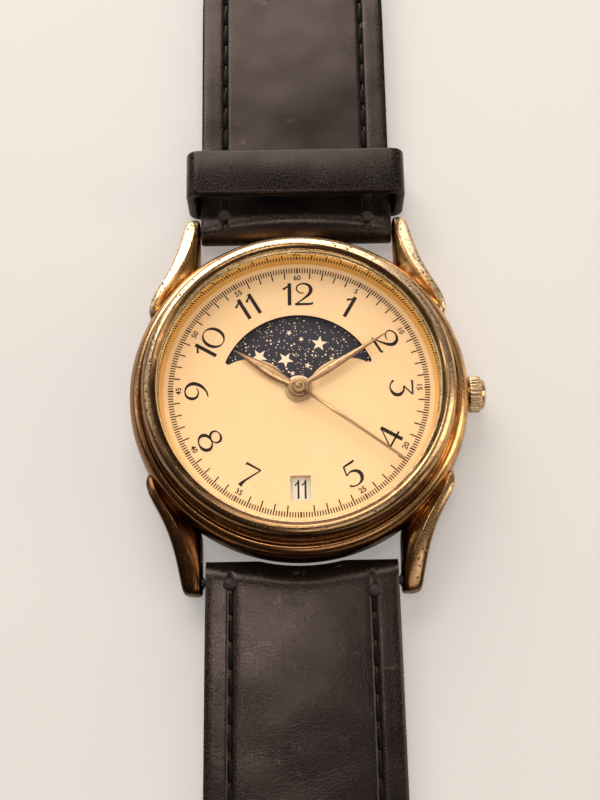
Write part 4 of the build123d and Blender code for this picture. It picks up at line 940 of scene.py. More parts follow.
def lug_section(y, inner, outer, low, ridge, facet, fall, step):
    """A lug's closed section at a station: inner wall and facet, ridge, outer facet, flank, underside."""
    ridge_x, foot_x = outer - facet, inner + step
    return [
        (inner, y, low + 0.35),
        (inner, y, ridge - fall - 0.35 - step),
        (foot_x, y, ridge - fall),
        (foot_x + (ridge_x - foot_x) * 0.5, y, ridge - fall * 0.4),
        (ridge_x - 0.06, y, ridge - 0.06),
        (ridge_x + 0.03, y, ridge + 0.03),
        (ridge_x + facet * 0.5, y, ridge - 0.02),
        (outer - facet * 0.06, y, ridge - 0.18),
        (outer, y, ridge - 0.5),
        (outer, y, low + 0.8),
        (outer - facet * 0.35, y, low + 0.12),
        (outer - (outer - inner) * 0.5, y, low),
        (inner + (outer - inner) * 0.15, y, low + 0.05),
    ]


lug_sections = [lug_section(*station) for station in lug_stations]
lug_faces = tube_faces(len(lug_sections), len(lug_sections[0]))
print(len(lug_sections), "lug sections of", len(lug_sections[0]), "points")


# %% Lug wear and ridge
def lug_size(y, column):
    """A column of the stations at a distance along the lug."""
    return np.interp(y, [row[0] for row in lug_stations], [row[column] for row in lug_stations])


def lug_wear(x, y, z):
    """Wear on the outer facet and the ridge, stronger on the lugs towards 12 as painted highlight."""
    # Painted highlight: the lugs towards 12 o'clock get more pale rubbed gold than those towards 6.
    side = 1.0 if y > 0 else 0.45
    x, y = abs(x), abs(y)
    outer, ridge_z, facet = (lug_size(y, column) for column in (OUTER, RIDGE_Z, FACET))
    on_facet = near(x, outer - facet * 0.45, facet * 0.95)
    return on_facet * clamp((z - ridge_z + 0.5) / 0.3) * side


def crease_ridge(mesh, sharpness=0.85):
    """Creases the edges along the ridge, so that subdivision keeps it sharp."""
    values = []
    for edge in mesh.edges:
        a, b = (mesh.vertices[i].co / MM for i in edge.vertices)
        row = min(lug_stations, key=lambda r: abs(r[0] - abs(a.y)))
        along = abs(a.y - b.y) > 0.05 and 8 < abs(a.y) < 19.5
        on_ridge = abs(abs(a.x) - (row[OUTER] - row[FACET])) < 0.09 and abs(a.z - row[RIDGE_Z]) < 0.1
        values.append(sharpness if along and on_ridge else 0.0)
    mesh.attributes.new("crease_edge", "FLOAT", "EDGE").data.foreach_set("value", values)


print("outer facet at the spring bar", round(float(lug_size(bar_y, FACET)), 2), "mm wide")

# %% Four lugs
lower_lug_shift = 0.42
for side_x, side_y, name in ((1, 1, "12_right"), (-1, 1, "12_left"), (1, -1, "6_right"), (-1, -1, "6_left")):
    lug_points = []
    for x, y, z in (point for section in lug_sections for point in section):
        inward = lower_lug_shift * clamp((y - 12) / 2) * clamp(11.2 - x) if side_y < 0 else 0.0
        lug_points.append(((x - inward) * side_x, y * side_y, z))
    lug = piece("lug_" + name, lug_points, lug_faces, "watch_case", "lug", wear=0)
    crease_ridge(lug.data)
    applied(lug, "SUBSURF", levels=3, render_levels=3)
    mark_wear(lug.data, lug_wear)
print("four lugs,", len(lug.data.polygons), "faces each")


# %% [markdown]
# ## Bezel
# The bezel is a separate turned ring that snaps on over the case and holds the crystal. Its outer side
# rises almost upright, rolls over in a soft crown and falls to a narrow lip at the glass. The crown has the
# brightest highlight of the whole watch, so its curve is drawn with more points than anything else. It is
# turned like the case.

# %% Bezel ring
bezel_low = reach("bezel", LOW, Z)
glass_seat_r, glass_seat_z = 13.95, 7.05
bezel_inner_r = 14.92
bezel_profile = rounded(
    [
        (bezel_inner_r, bezel_low), (15.43, bezel_low), (15.45, 6.9), (15.42, 7.4), (15.36, 7.8),
        (15.25, 8.07), (15.1, 8.26), (14.92, 8.38), (14.62, 8.49), (14.46, 8.47), (14.28, 8.36),
        (14.1, 8.16), (14.03, 8.06), (14.0, 8.07), (13.96, 8.05), (glass_seat_r, 7.98),
        (glass_seat_r, glass_seat_z), (bezel_inner_r, glass_seat_z),
    ],
    [0.04, 0.1] + [0.12] * 10 + [0.02, 0.02, 0.02, 0.03, 0.04, 0.04],
    3,
)
# Painted highlight, as on the case: the crown's pale rubbed gold is stronger towards 12 o'clock and the left.
crown_wear_and_highlight = ring_wear(14.78, 0.45, 7.9, 0.9)
piece("bezel_ring", *lathe(bezel_profile), "watch_case", "bezel", ("bezel",), wear=crown_wear_and_highlight)
print("bezel from", bezel_low, "to", round(max(p[1] for p in bezel_profile), 2), "mm")


# %% [markdown]
# ## Dial wall, crystal and seal
# Between dial and glass stands a polished gold wall, which mirrors the minute track as a second ring of
# ticks. That mirror image needs no drawing: the wall only has to be as steep and as polished as the real
# one. The crystal is a disc with a small chamfer, and a thin nylon seal holds it in the bezel.

# %% Dial wall
wall_r, wall_lip_z = 13.92, 7.17
flange_profile = rounded(
    [
        (13.36, dial_z), (14.2, dial_z), (14.2, 6.55), (wall_r, 6.6), (wall_r, wall_lip_z),
        (13.8, wall_lip_z), (13.77, 7.1),
    ],
    0.03, 2,
)


def lip_wear(x, y, z):
    return clamp((z - 7.08) / 0.06)


piece("dial_wall", *lathe(flange_profile), "watch_case", "wall", ("dial_flange",), wear=lip_wear)
print("dial wall", round(wall_lip_z - dial_z, 2), "mm high")

# %% Crystal and seal
glass_low, glass_top = 7.2, 8.05
crystal_profile = rounded(
    [
        (0.0, glass_low), (13.9, glass_low), (13.92, 7.22), (13.92, 7.96), (13.86, 8.04), (13.8, glass_top),
        (0.0, glass_top),
    ],
    [0, 0.02, 0.02, 0.03, 0.03, 0.02, 0], 3, closed=False,
)
crystal = lathe(crystal_profile, 180, closed=False)
piece("crystal_glass", *crystal, "watch_case", "glass", ("crystal",), wear=0)
seal_in, seal_out, seal_top = 13.925, 13.945, 7.95
seal_profile = rounded(
    [(seal_in, glass_low), (seal_out, glass_low), (seal_out, seal_top), (seal_in, seal_top)], 0.005, 2
)
piece("crystal_seal", *lathe(seal_profile), "watch_case", "nylon", ("crystal_gasket",), wear=0)
print("crystal", round(glass_top - glass_low, 2), "mm thick")


# %% [markdown]
# ## Crown and case back
# The crown is pulled out to set the hands and turned between two fingers, so it has 26 rounded ridges. They
# could be an array of half cylinders, but then their feet would meet in sharp joints. Instead the radius of
# each ring of points swells and sinks with the angle. Behind the ridges the crown is hollow, where it
# slides over its tube. The case back's solid is right and only gets softer edges, by a bevel on a copy.

# %% Crown
crown_low, crown_high = reach("crown", LOW, X), reach("crown", HIGH, X)
crown_r, crown_z = reach("crown", HIGH, Y), middle("crown", Z)
crown_ridges, steps_per_ridge = 26, 10
crown_rings = [
    # x, share of the radius, share of the ridges' depth
    (crown_low, 0.97, 0), (17.1, 1.0, 0.6), (17.25, 1.0, 1), (17.95, 1.0, 1), (18.08, 0.985, 0.8),
    (18.16, 0.93, 0.2), (18.2, 0.86, 0), (18.3, 0.82, 0), (18.5, 0.78, 0), (18.62, 0.68, 0), (18.68, 0.5, 0),
    (crown_high, 0.25, 0),
]


def crown_mesh():
    """A crown with rounded ridges, a low domed cap and a hollow behind."""
    ridge_depth, hollow_r, hollow_end = 0.17, 1.3, 17.75
    count = crown_ridges * steps_per_ridge
    points = []
    for x, share, depth in crown_rings:
        for i in range(count):
            a = 2 * math.pi * i / count
            wave = abs(math.sin(crown_ridges * a / 2)) ** 0.7
            r = crown_r * share - ridge_depth * depth * (1 - wave)
            points.append((x, r * math.cos(a), crown_z + r * math.sin(a)))
    faces = grid_faces(len(crown_rings), count, False, True)
    faces.append(tuple((len(crown_rings) - 1) * count + i for i in range(count)))
    back = len(points)
    for x in (crown_low, hollow_end):
        points += [(x, y, crown_z + z) for y, z in circle(hollow_r, count)]
    for i in range(count):
        j = (i + 1) % count
        faces.append((i, j, back + j, back + i))
        faces.append((back + i, back + j, back + count + j, back + count + i))
    faces.append(tuple(back + count + i for i in range(count)))
    return points, faces


piece("crown_grip", *crown_mesh(), "crown_and_stem", "crown", ("crown",))
softened("case_back", 0.08, "back")
print("crown", crown_r * 2, "mm across with", crown_ridges, "ridges")


# %% [markdown]
# ## Hands
# The hour and minute hands are leaves: narrow at the hub, widest a third of the way out, drawn to a point,
# with a ridge down the middle that splits the light in two. The seconds hand is a needle on a turned hub. A
# flat cut-out would have no such split, so each blade is swept from a section of seven points, low at its
# edges and high at its ridge, along stations that follow the leaf's outline. Each hand rides on the body of
# its own wheel.

# %% Blade and boss
def blade(stations, z, ridge_rise, thick):
    """Points and faces of a blade along +Y from (distance, half width) stations."""
    top = z + thick
    points = []
    for y, half in stations:
        points += [
            (-half, y, z), (half, y, z), (half, y, top), (half * 0.5, y, top + ridge_rise * 0.55),
            (0, y, top + ridge_rise), (-half * 0.5, y, top + ridge_rise * 0.55), (-half, y, top),
        ]
    return points, tube_faces(len(stations), 7)


def leaf(root_y, length, root_w, belly_w, belly_share, tip_w=0.05, count=28):
    """Stations of a leaf outline: narrow at the root, widest at the belly, drawn out to the tip."""
    stations = []
    for i in range(count + 1):
        t = i / count
        if t < belly_share:
            w = root_w + (belly_w - root_w) * math.sin(t / belly_share * math.pi / 2) ** 1.2
        else:
            w = belly_w + (tip_w - belly_w) * ((t - belly_share) / (1 - belly_share)) ** 1.15
        stations.append((root_y + (length - root_y) * t, w / 2))
    return stations


def turned_to(mesh, clockwise):
    """A mesh that points along +Y, turned clockwise round the axis by an angle in degrees."""
    c, s = math.cos(math.radians(-clockwise)), math.sin(math.radians(-clockwise))
    return [(x * c - y * s, x * s + y * c, z) for x, y, z in mesh[0]], mesh[1]


def boss(outer, inner, z, height=0.2):
    """A boss with rounded rims and a shallow turned groove."""
    top, groove_r = z + height, (outer + inner) / 2
    corners = [
        (inner, z), (outer, z), (outer, top - 0.03), (outer - 0.06, top), (groove_r + 0.05, top),
        (groove_r, top - 0.035), (groove_r - 0.05, top), (inner, top),
    ]
    return lathe(rounded(corners, 0.02, 2), 96)


print("hand tools ready")

# %% Three hands
hour_at, minute_at, second_at = -57.5, 57.6, 126.7
hour_z, minute_z = reach("hour_hand", LOW, Z), reach("minute_hand", LOW, Z)
hub_low, hub_high = reach("seconds_hand", LOW, Z), reach("seconds_hand", HIGH, Z)

hour_blade = turned_to(blade(leaf(0.8, 7.4, 0.6, 1.15, 0.38), hour_z, 0.1, 0.09), hour_at)
hour_hand = joined(hour_blade, boss(1.1, 0.7, hour_z))
piece("hour_hand_blade", *hour_hand, "hours", "hands", ("hour_hand",))
minute_blade = turned_to(blade(leaf(0.7, 10.6, 0.4, 0.8, 0.3), minute_z, 0.1, 0.08), minute_at)
minute_hand = joined(minute_blade, boss(0.9, 0.45, minute_z))
piece("minute_hand_blade", *minute_hand, "minutes", "hands", ("minute_hand",))

needle = [(0.3, 0.16), (6.0, 0.145), (12.4, 0.125), (12.6, 0.08)]
seconds_blade = turned_to(blade(needle, hub_low + 0.05, 0.02, 0.06), second_at)
hub_profile = rounded(
    [
        (0.0, hub_high), (0.2, hub_high), (0.25, 6.68), (0.25, 6.52), (0.36, 6.49), (0.44, 6.51),
        (0.58, 6.51), (0.65, 6.46), (0.65, hub_low), (0.12, hub_low),
    ],
    0.02, 2, closed=False,
)
seconds_hand = joined(seconds_blade, lathe(hub_profile, 96, closed=False))
piece("seconds_hand_blade", *seconds_hand, "seconds", "seconds", ("seconds_hand",), wear=0)
print("hands at", hour_at, minute_at, second_at, "degrees from 12")


# %% [markdown]
# ## Copies by geometry nodes
# Ticks, stars, dots, stitches and loose fibres are one small shape repeated, from 2 to 900 times. A loop
# could join the copies point by point, but geometry nodes does it quicker and keeps pattern and places
# apart. One tree serves them all: each point of a mesh carries a turn and a size as attributes, Instance on
# Points puts the pattern there, Realize Instances makes it real and Set Material finishes it. The result is
# turned into a plain mesh at once.

# %% The copies tree
def copies_tree():
    tree = bpy.data.node_groups.new("Placed copies", "GeometryNodeTree")
    for label, kind, direction in (
        ("Geometry", "NodeSocketGeometry", "INPUT"), ("Copy", "NodeSocketObject", "INPUT"),
        ("Finish", "NodeSocketMaterial", "INPUT"), ("Geometry", "NodeSocketGeometry", "OUTPUT"),
    ):
        tree.interface.new_socket(label, in_out=direction, socket_type=kind)
    given, out = tree.nodes.new("NodeGroupInput").outputs, tree.nodes.new("NodeGroupOutput")
    vector = {"data_type": "FLOAT_VECTOR"}
    turned = node(tree, "GeometryNodeInputNamedAttribute", vector, Name="turn").outputs["Attribute"]
    size = node(tree, "GeometryNodeInputNamedAttribute", vector, Name="size").outputs["Attribute"]
    pattern = node(tree, "GeometryNodeObjectInfo", Object=given["Copy"]).outputs["Geometry"]
    spread = node(
        tree, "GeometryNodeInstanceOnPoints", Points=given["Geometry"], Instance=pattern, Rotation=turned,
        Scale=size,
    )
    real = node(tree, "GeometryNodeRealizeInstances", Geometry=spread.outputs["Instances"])
    finish = node(
        tree, "GeometryNodeSetMaterial", Geometry=real.outputs["Geometry"], Material=given["Finish"]
    )
    tree.links.new(finish.outputs["Geometry"], out.inputs["Geometry"])
    return tree


placed_copies = copies_tree()
print("copies tree:", len(placed_copies.nodes), "nodes")


# %% Making copies
def copies(name, pattern, places, body, finish, smooth=True):
    """A piece made of copies of a (points, faces) pattern; each place is (point, turn, size)."""
    points = mesh_of(name + "_points", [place[0] for place in places], [])
    for label, column in (("turn", 1), ("size", 2)):
        attribute = points.attributes.new(label, "FLOAT_VECTOR", "POINT")
        attribute.data.foreach_set("vector", [v for place in places for v in place[column]])
    original = link(bpy.data.objects.new(name + "_shape", mesh_of(name + "_shape", *pattern)))
    holder = link(bpy.data.objects.new(name, points))
    modifier = holder.modifiers.new("copies", "NODES")
    modifier.node_group = placed_copies
    sockets = {s.name: s.identifier for s in placed_copies.interface.items_tree if s.in_out == "INPUT"}
    modifier[sockets["Copy"]] = original
    modifier[sockets["Finish"]] = mats[finish]
    bpy.context.view_layer.update()
    evaluated = holder.evaluated_get(bpy.context.evaluated_depsgraph_get())
    mesh = bpy.data.meshes.new_from_object(evaluated)
    holder.modifiers.clear()
    holder.data = mesh
    bpy.data.objects.remove(original)
    return dress(holder, body, finish, (), smooth, 0)


print("copies tool ready")


# %% [markdown]
# ## Drawing the numbers
# The hour numbers have thick and thin strokes, as if written with a broad pen, and stand for the whole
# character of the dial. A font would be quicker, but none of Blender's own looks like them. Each digit is
# drawn here one unit high, as strokes through points that carry their own width: a smooth curve is laid
# through them and a ribbon of ink, thin but solid, follows it.

# %% Strokes
def smooth_path(points, steps=9, closed=False):
    """A Catmull-Rom curve through (x, y, width) points."""
    count = len(points)
    result = []
    for i in range(count if closed else count - 1):
        places = [j % count if closed else clamp(j, 0, count - 1) for j in range(i - 1, i + 3)]
        a, b, c, d = (np.array(points[j], float) for j in places)
        for s in range(steps):
            t = s / steps
            bend = (2 * a - 5 * b + 4 * c - d) * t**2 + (3 * b - a - 3 * c + d) * t**3
            result.append(0.5 * (2 * b + (c - a) * t + bend))
    if not closed:
        result.append(np.array(points[-1], float))
    return result


def ribbon(path, closed=False):
    """A ribbon of ink one unit thick along (x, y, width) points."""
    swell = 0.6
    count = len(path)
    points, faces = [], []
    for i, p in enumerate(path):
        before = path[i - 1] if closed or i else p
        after = path[(i + 1) % count] if closed or i < count - 1 else p
        along = (after - before)[:2]
        along /= max(np.hypot(*along), 1e-9)
        across = np.array([-along[1], along[0]]) * p[2] * swell
        left, right = p[:2] + across, p[:2] - across
        points += [(*left, 0), (*right, 0), (*right, 1), (*left, 1)]
    for i in range(count if closed else count - 1):
        a, b = i * 4, ((i + 1) % count) * 4
        faces += [(a + k, a + (k + 1) % 4, b + (k + 1) % 4, b + k) for k in range(4)]
    if not closed:
        faces += [(0, 1, 2, 3), tuple(reversed(range(count * 4 - 4, count * 4)))]
    return points, faces


def curved(*points):
    return ribbon(smooth_path(points))


def straight(*points):
    return ribbon([np.array(p, float) for p in points])


def ring(cx, cy, rx, ry, thin, thick, lean=0.0):
    """A closed oval stroke, thickest at its sides; lean turns the thick places round."""
    points, count = [], 16
    for i in range(count):
        a = 2 * math.pi * i / count
        width = thin + (thick - thin) * abs(math.cos(a - lean)) ** 1.5
        points.append((cx + rx * math.cos(a), cy + ry * math.sin(a), width))
    return ribbon(smooth_path(points, closed=True), closed=True)


print("stroke tools ready")

# %% Digits 0 to 4
# Each is a width and its strokes, one unit high
digits = {
    "0": (0.86, [ring(0.43, 0.5, 0.38, 0.46, 0.035, 0.115)]),
    "1": (0.4, [
        straight((0.3, 1, 0.13), (0.3, 0, 0.13)),
        curved((0.33, 0.97, 0.03), (0.2, 0.84, 0.06), (0.03, 0.72, 0.09)),
    ]),
    "2": (0.76, [
        curved((0.42, 0.55, 0.03), (0.24, 0.56, 0.045), (0.1, 0.7, 0.05), (0.14, 0.88, 0.05),
               (0.36, 0.975, 0.06), (0.6, 0.9, 0.1), (0.7, 0.7, 0.13), (0.62, 0.5, 0.11), (0.4, 0.3, 0.07),
               (0.15, 0.12, 0.05), (0.03, 0.045, 0.05)),
        curved((0.03, 0.05, 0.09), (0.4, 0.05, 0.09), (0.72, 0.06, 0.08), (0.75, 0.14, 0.03)),
    ]),
    "3": (0.7, [
        straight((0.03, 0.86, 0.03), (0.06, 0.95, 0.07), (0.65, 0.95, 0.05)),
        straight((0.65, 0.955, 0.05), (0.28, 0.6, 0.05)),
        curved((0.26, 0.6, 0.05), (0.48, 0.58, 0.07), (0.64, 0.42, 0.12), (0.62, 0.2, 0.12),
               (0.4, 0.04, 0.06), (0.18, 0.06, 0.05), (0.03, 0.18, 0.08)),
    ]),
    "4": (0.78, [
        straight((0.56, 1.0, 0.04), (0.03, 0.3, 0.05)),
        straight((0.02, 0.28, 0.07), (0.78, 0.28, 0.07)),
        straight((0.56, 1.0, 0.13), (0.56, 0.0, 0.13)),
    ]),
}
print(len(digits), "digits drawn")

# %% Digits 5 to 9
digits.update({
    "5": (0.72, [
        curved((0.2, 0.95, 0.07), (0.62, 0.97, 0.08), (0.68, 1.02, 0.03)),
        straight((0.2, 0.96, 0.06), (0.12, 0.56, 0.05)),
        curved((0.12, 0.56, 0.04), (0.34, 0.64, 0.06), (0.58, 0.54, 0.11), (0.66, 0.34, 0.13),
               (0.56, 0.12, 0.1), (0.32, 0.03, 0.05), (0.1, 0.08, 0.06), (0.02, 0.16, 0.08)),
    ]),
    "6": (0.74, [
        curved((0.24, 0.5, 0.03), (0.42, 0.58, 0.045), (0.64, 0.5, 0.08), (0.7, 0.3, 0.11),
               (0.6, 0.1, 0.08), (0.38, 0.03, 0.05), (0.16, 0.12, 0.09), (0.05, 0.36, 0.13),
               (0.14, 0.66, 0.11), (0.38, 0.9, 0.06), (0.62, 0.98, 0.045)),
    ]),
    "7": (0.72, [
        straight((0.02, 0.86, 0.04), (0.04, 0.95, 0.09), (0.7, 0.95, 0.06)),
        curved((0.69, 0.955, 0.045), (0.34, 0.3, 0.08), (0.24, 0.0, 0.16)),
    ]),
    "8": (0.74, [
        ring(0.37, 0.76, 0.25, 0.21, 0.04, 0.085, 0.5),
        ring(0.37, 0.28, 0.33, 0.26, 0.045, 0.12, -0.4),
    ]),
    "9": (0.74, [
        curved((0.5, 0.5, 0.03), (0.32, 0.42, 0.045), (0.1, 0.5, 0.08), (0.04, 0.7, 0.11),
               (0.14, 0.9, 0.08), (0.36, 0.97, 0.05), (0.58, 0.88, 0.09), (0.69, 0.64, 0.13),
               (0.6, 0.34, 0.11), (0.36, 0.1, 0.06), (0.12, 0.02, 0.045)),
    ]),
})
print(len(digits), "digits drawn")


# %% [markdown]
# ## Dial printing
# Pad printing leaves ink about a hundredth of a millimetre thick. An image on the dial would be blurred
# close up and isn't used here, and a mask in the shader would need a texture for each number. So the ink is
# real: thin raised pieces that ride on the case. The numbers stand upright to the reader, so those round
# the bottom are turned over. The small minute numbers are plain enough for Blender's own letters.

# %% Laying a number on the dial
ink = 0.012
ink_gap = 0.001
ink_z = dial_z + ink_gap


def laid(mesh, radius, clockwise, flipped, height, z):
    """A drawing one unit high, laid flat at a radius and a clockwise angle; flipped turns it over."""
    x, y = radius * math.sin(clockwise), radius * math.cos(clockwise)
    turned = math.pi - clockwise if flipped else -clockwise
    c, s = math.cos(turned), math.sin(turned)
    points = []
    for px, py, pz in mesh[0]:
        points.append((x + (px * c - py * s) * height, y + (px * s + py * c) * height, z + pz * ink))
    return points, mesh[1]


def drawn_number(text, gap=0.1, squeeze=1.0):
    """A number from the drawn digits, centred on its own middle."""
    x = -(sum(digits[d][0] for d in text) + gap * (len(text) - 1)) / 2
    parts = []
    for d in text:
        for points, faces in digits[d][1]:
            parts.append(([((px + x) * squeeze, py - 0.5, pz) for px, py, pz in points], faces))
        x += digits[d][0] + gap
    return joined(*parts)


print("number tools ready")

# %% Hour numbers
hour_r, hour_height = 10.1, 2.4
hour_numbers = []
for hour in (1, 2, 3, 4, 5, 7, 8, 9, 10, 11, 12):
    flipped = hour in (4, 5, 7, 8)
    number = drawn_number(str(hour))
    hour_numbers.append(laid(number, hour_r, math.radians(hour * 30), flipped, hour_height, ink_z))
piece("hour_numbers", *joined(*hour_numbers), "watch_case", "print", smooth=False, wear=0)
print(len(hour_numbers), "hour numbers")


# %% Minute numbers
def typed(text, bold):
    """A number in the plain built-in letters, as a thin mesh one unit high and thick, centred."""
    curve = bpy.data.curves.new("typed", "FONT")
    curve.body, curve.size, curve.align_x, curve.align_y = text, 1.0, "CENTER", "CENTER"
    curve.extrude, curve.offset, curve.resolution_u = 0.5, bold, 3
    obj = link(bpy.data.objects.new("typed", curve))
    bpy.context.view_layer.update()
    mesh = bpy.data.meshes.new_from_object(obj.evaluated_get(bpy.context.evaluated_depsgraph_get()))
    points = np.array([v.co for v in mesh.vertices])
    faces = [tuple(p.vertices) for p in mesh.polygons]
    bpy.data.objects.remove(obj)
    bpy.data.meshes.remove(mesh)
    tall = points[:, 1].max() - points[:, 1].min()
    points = (points - (points.max(0) + points.min(0)) / 2) / tall
    return [(x, y, z * tall + 0.5) for x, y, z in points], faces


small_r, small_height, small_bold = 11.88, 0.56, 0.022
small_numbers = []
for minute in (5, 10, 15, 20, 25, 35, 40, 45, 50, 55, 60):
    flipped = minute in (20, 25, 35, 40)
    number = typed(str(minute), small_bold)
    small_numbers.append(laid(number, small_r, math.radians(minute * 6), flipped, small_height, ink_z))
piece("minute_numbers", *joined(*small_numbers), "watch_case", "print", smooth=False, wear=0)
print(len(small_numbers), "minute numbers")


# %% [markdown]
# ## Minute track
# Each minute is divided into five, so the track has 300 ticks. Those of the minutes reach further in, and
# those of every fifth minute are broad and short, because the small numbers stand under them. One tick is
# drawn one unit wide and long, and the copies tree stretches it at each place.

# %% Ticks
tick_count, ticks_per_five = 300, 25
track_r = 12.92
tick = slab([(-0.5, 0), (0.5, 0), (0.5, 1), (-0.5, 1)], 0, ink)
ticks = []
for i in range(tick_count):
    clockwise = math.radians(i * 360 / tick_count)
    if i % ticks_per_five == 0:
        inner_r, wide = 12.36, 0.17
    elif i % 5 == 0:
        inner_r, wide = 11.78, 0.125
    else:
        inner_r, wide = 12.4, 0.115
    place = (inner_r * math.sin(clockwise), inner_r * math.cos(clockwise), ink_z)
    ticks.append((place, (0, 0, -clockwise), (wide, track_r - inner_r, 1)))
copies("minute_track", tick, ticks, "watch_case", "print", smooth=False)
print(len(ticks), "ticks")


# %% [markdown]
# ## Moon disc
# Under the dial a navy disc turns once in two moons, and carries them and a printed sky past the window.
# The sky here has a layout of its own: fourteen five-pointed stars at listed places and 620 dots scattered
# at random, kept clear of the stars, the moons and one another. The scatter has a fixed seed, so that the
# sky is the same in every run. The disc's solid stays, and only gets its colour.

# %% Stars and moons
random.seed(11)
sky_z = reach("moon_disc", HIGH, Z) + ink_gap
moon_off, moon_r = 5.1, 2.3
moons = [(moon_off, 0.0), (-moon_off, 0.0)]
star_outline = []
for k in range(10):
    r = 1.0 if k % 2 == 0 else 0.4
    star_outline.append((r * math.sin(k * math.pi / 5), r * math.cos(k * math.pi / 5)))
star_places = [
    # x, y, radius
    (-3.9, 3.7, 0.86), (-1.3, 3.35, 0.84), (2.1, 5.0, 0.84), (4.75, 3.15, 0.7), (-0.2, -3.9, 0.85),
    (2.4, -5.1, 0.8), (-2.9, -4.6, 0.84), (-0.9, 6.2, 0.34), (0.3, 5.5, 0.3), (0.9, 2.7, 0.36),
    (-0.6, 1.9, 0.3), (3.3, 3.4, 0.26), (0.2, -6.5, 0.34), (1.2, -2.6, 0.3),
]
stars = [((x, y, sky_z), (0, 0, random.uniform(0, 1.2)), (size, size, 1)) for x, y, size in star_places]
moon_places = [((x, y, sky_z), (0, 0, 0), (1, 1, 1)) for x, y in moons]
copies("sky_stars", slab(star_outline, 0, ink), stars, "moon", "star", smooth=False)
print(len(stars), "stars,", len(moons), "moons")

# %% Dots
dot_count, dot_room = 620, 0.07
sky_inner_r, sky_outer_r = 1.3, 8.1
taken = [(x, y, moon_r + 0.1) for x, y in moons] + star_places
dots = []
while len(dots) < dot_count:
    angle, r = random.uniform(0, 2 * math.pi), math.sqrt(random.uniform(sky_inner_r**2, sky_outer_r**2))
    x, y = r * math.cos(angle), r * math.sin(angle)
    size = random.choice((0.035, 0.04, 0.05, 0.055, 0.07, 0.1))
    if all(math.hypot(x - a, y - b) > size + room for a, b, room in taken):
        dots.append(((x, y, sky_z), (0, 0, 0), (size, size, 1)))
        taken.append((x, y, size + dot_room))
copies("sky_dots", slab(circle(1.0, 8), 0, ink), dots, "moon", "star", smooth=False)
copies("sky_moons", slab(circle(moon_r, 80), 0, ink), moon_places, "moon", "star", smooth=False)
print(len(dots), "dots")


# %% [markdown]
# ## Moon window and hub collar
# The window is cut through the dial. A thin near-black strip stands just inside its upper arch, a painted
# shadow along the window's upper edge, made as a piece because the dial's solid has one finish all over. A
# pale turned collar lies round the hub, where the hands' arbor comes through.

# %% Window shadow strip and collar
# Painted shadow: a near-black strip round the upper arch of the window, in the dial print's finish.
window_r, strip_t = 7.84, 0.05
strip_low, strip_high = 4.88, dial_z - 0.004
strip_r = window_r - strip_t
strip_section = [(window_r, strip_low), (window_r, strip_high), (strip_r, strip_high), (strip_r, strip_low)]
steps = 120
shadow_strip = []
for i in range(steps + 1):
    a = math.radians(-5 + 190 * i / steps)
    for r, z in strip_section:
        shadow_strip.append((r * math.cos(a), r * math.sin(a), z))
piece("moon_window_wall", shadow_strip, tube_faces(steps + 1, 4), "watch_case", "print", wear=0)
collar_low = dial_z + ink_gap
collar = rounded([(1.2, collar_low), (1.44, collar_low), (1.42, 5.35), (1.34, 5.39), (1.22, 5.37)], 0.02, 2)
piece("dial_collar", *lathe(collar, 96), "watch_case", "collar", wear=0)
print("window radius", window_r, "mm")


# %% [markdown]
# ## Date ring
# A white ring under the dial carries the dates 1 to 31 and shows one of them in the small window at 6
# o'clock. The numbers are the drawn digits again, squeezed narrow, one every 31st part of a turn with
# today's in the window.

# %% Dates
day_shown, days = 11, 31
date_r, date_height = 10.0, 1.85
date_z = reach("date_ring", HIGH, Z) + ink_gap
dates = []
for day in range(1, days + 1):
    clockwise = math.pi - math.radians((day - day_shown) * 360 / days)
    number = drawn_number(str(day), 0.16, squeeze=0.66)
    dates.append(laid(number, date_r, clockwise, True, date_height, date_z))
piece("date_numbers", *joined(*dates), "date", "print", smooth=False, wear=0)
print(len(dates), "dates, showing", day_shown)


# %% [markdown]
# ## Strap
# Each strap half is two leathers sewn together: a polished outer one, folded back round the spring bar, and
# a plain lining. The 12 o'clock half ends in the buckle, and the long half in a round tip with seven holes.
# A bent slab would look like rubber. On the real strap the top is crowned, the stitch lines are pulled down
# into grooves, the cut edges are softened and the leather rises where it rolls over the bar. So the side
# outline, a closed line of (y, z) with its seam and bore, is carried across the strap in columns, and a few
# rules move each point a little.

# %% Widths and heights
roll_r, bore_r = 1.5, 0.8
strap_t = 2.3
under_z = 1.0
lining_t = 1.0
roll_top = bar_z + roll_r - 0.01
lug_half, end_half = 9.9, 9.0
lie_y, tip_y, tip_r = 45, 123, 7
row_in = 2.5
crown_rise, edge_drop, groove_depth = 0.16, 0.06, 0.3


def strap_half(y):
    """Half the strap's width at a distance along the short (+) or long (-) half."""
    taper = lug_half - end_half
    if y > 0:
        return lug_half - taper * clamp((y - 45) / 37)
    return min(9.3 - 0.011 * (y + 19), lug_half - taper * clamp((-y - 24) / 68))


def long_half(y):
    """The long half's width, drawn in to a rounded tip."""
    if y > -tip_y:
        return strap_half(y)
    return max(end_half * math.sqrt(max(1 - ((-tip_y - y) / tip_r) ** 2, 0)), 0.02)


def sag(y):
    """The height of the long half's underside, which comes down to the table."""
    return max(under_z * (lie_y + y) / (lie_y - bar_y), 0) if y > -lie_y else 0.0


def long_top(y):
    """The height of the long half's upper side: level at the spring bar, then easing down to the table."""
    return roll_top - (roll_top - strap_t) * ease(clamp((-y - 19.1) / 28.9))


print("strap", 2 * strap_half(bar_y), "mm wide at the lugs and", 2 * strap_half(88), "at the buckle")


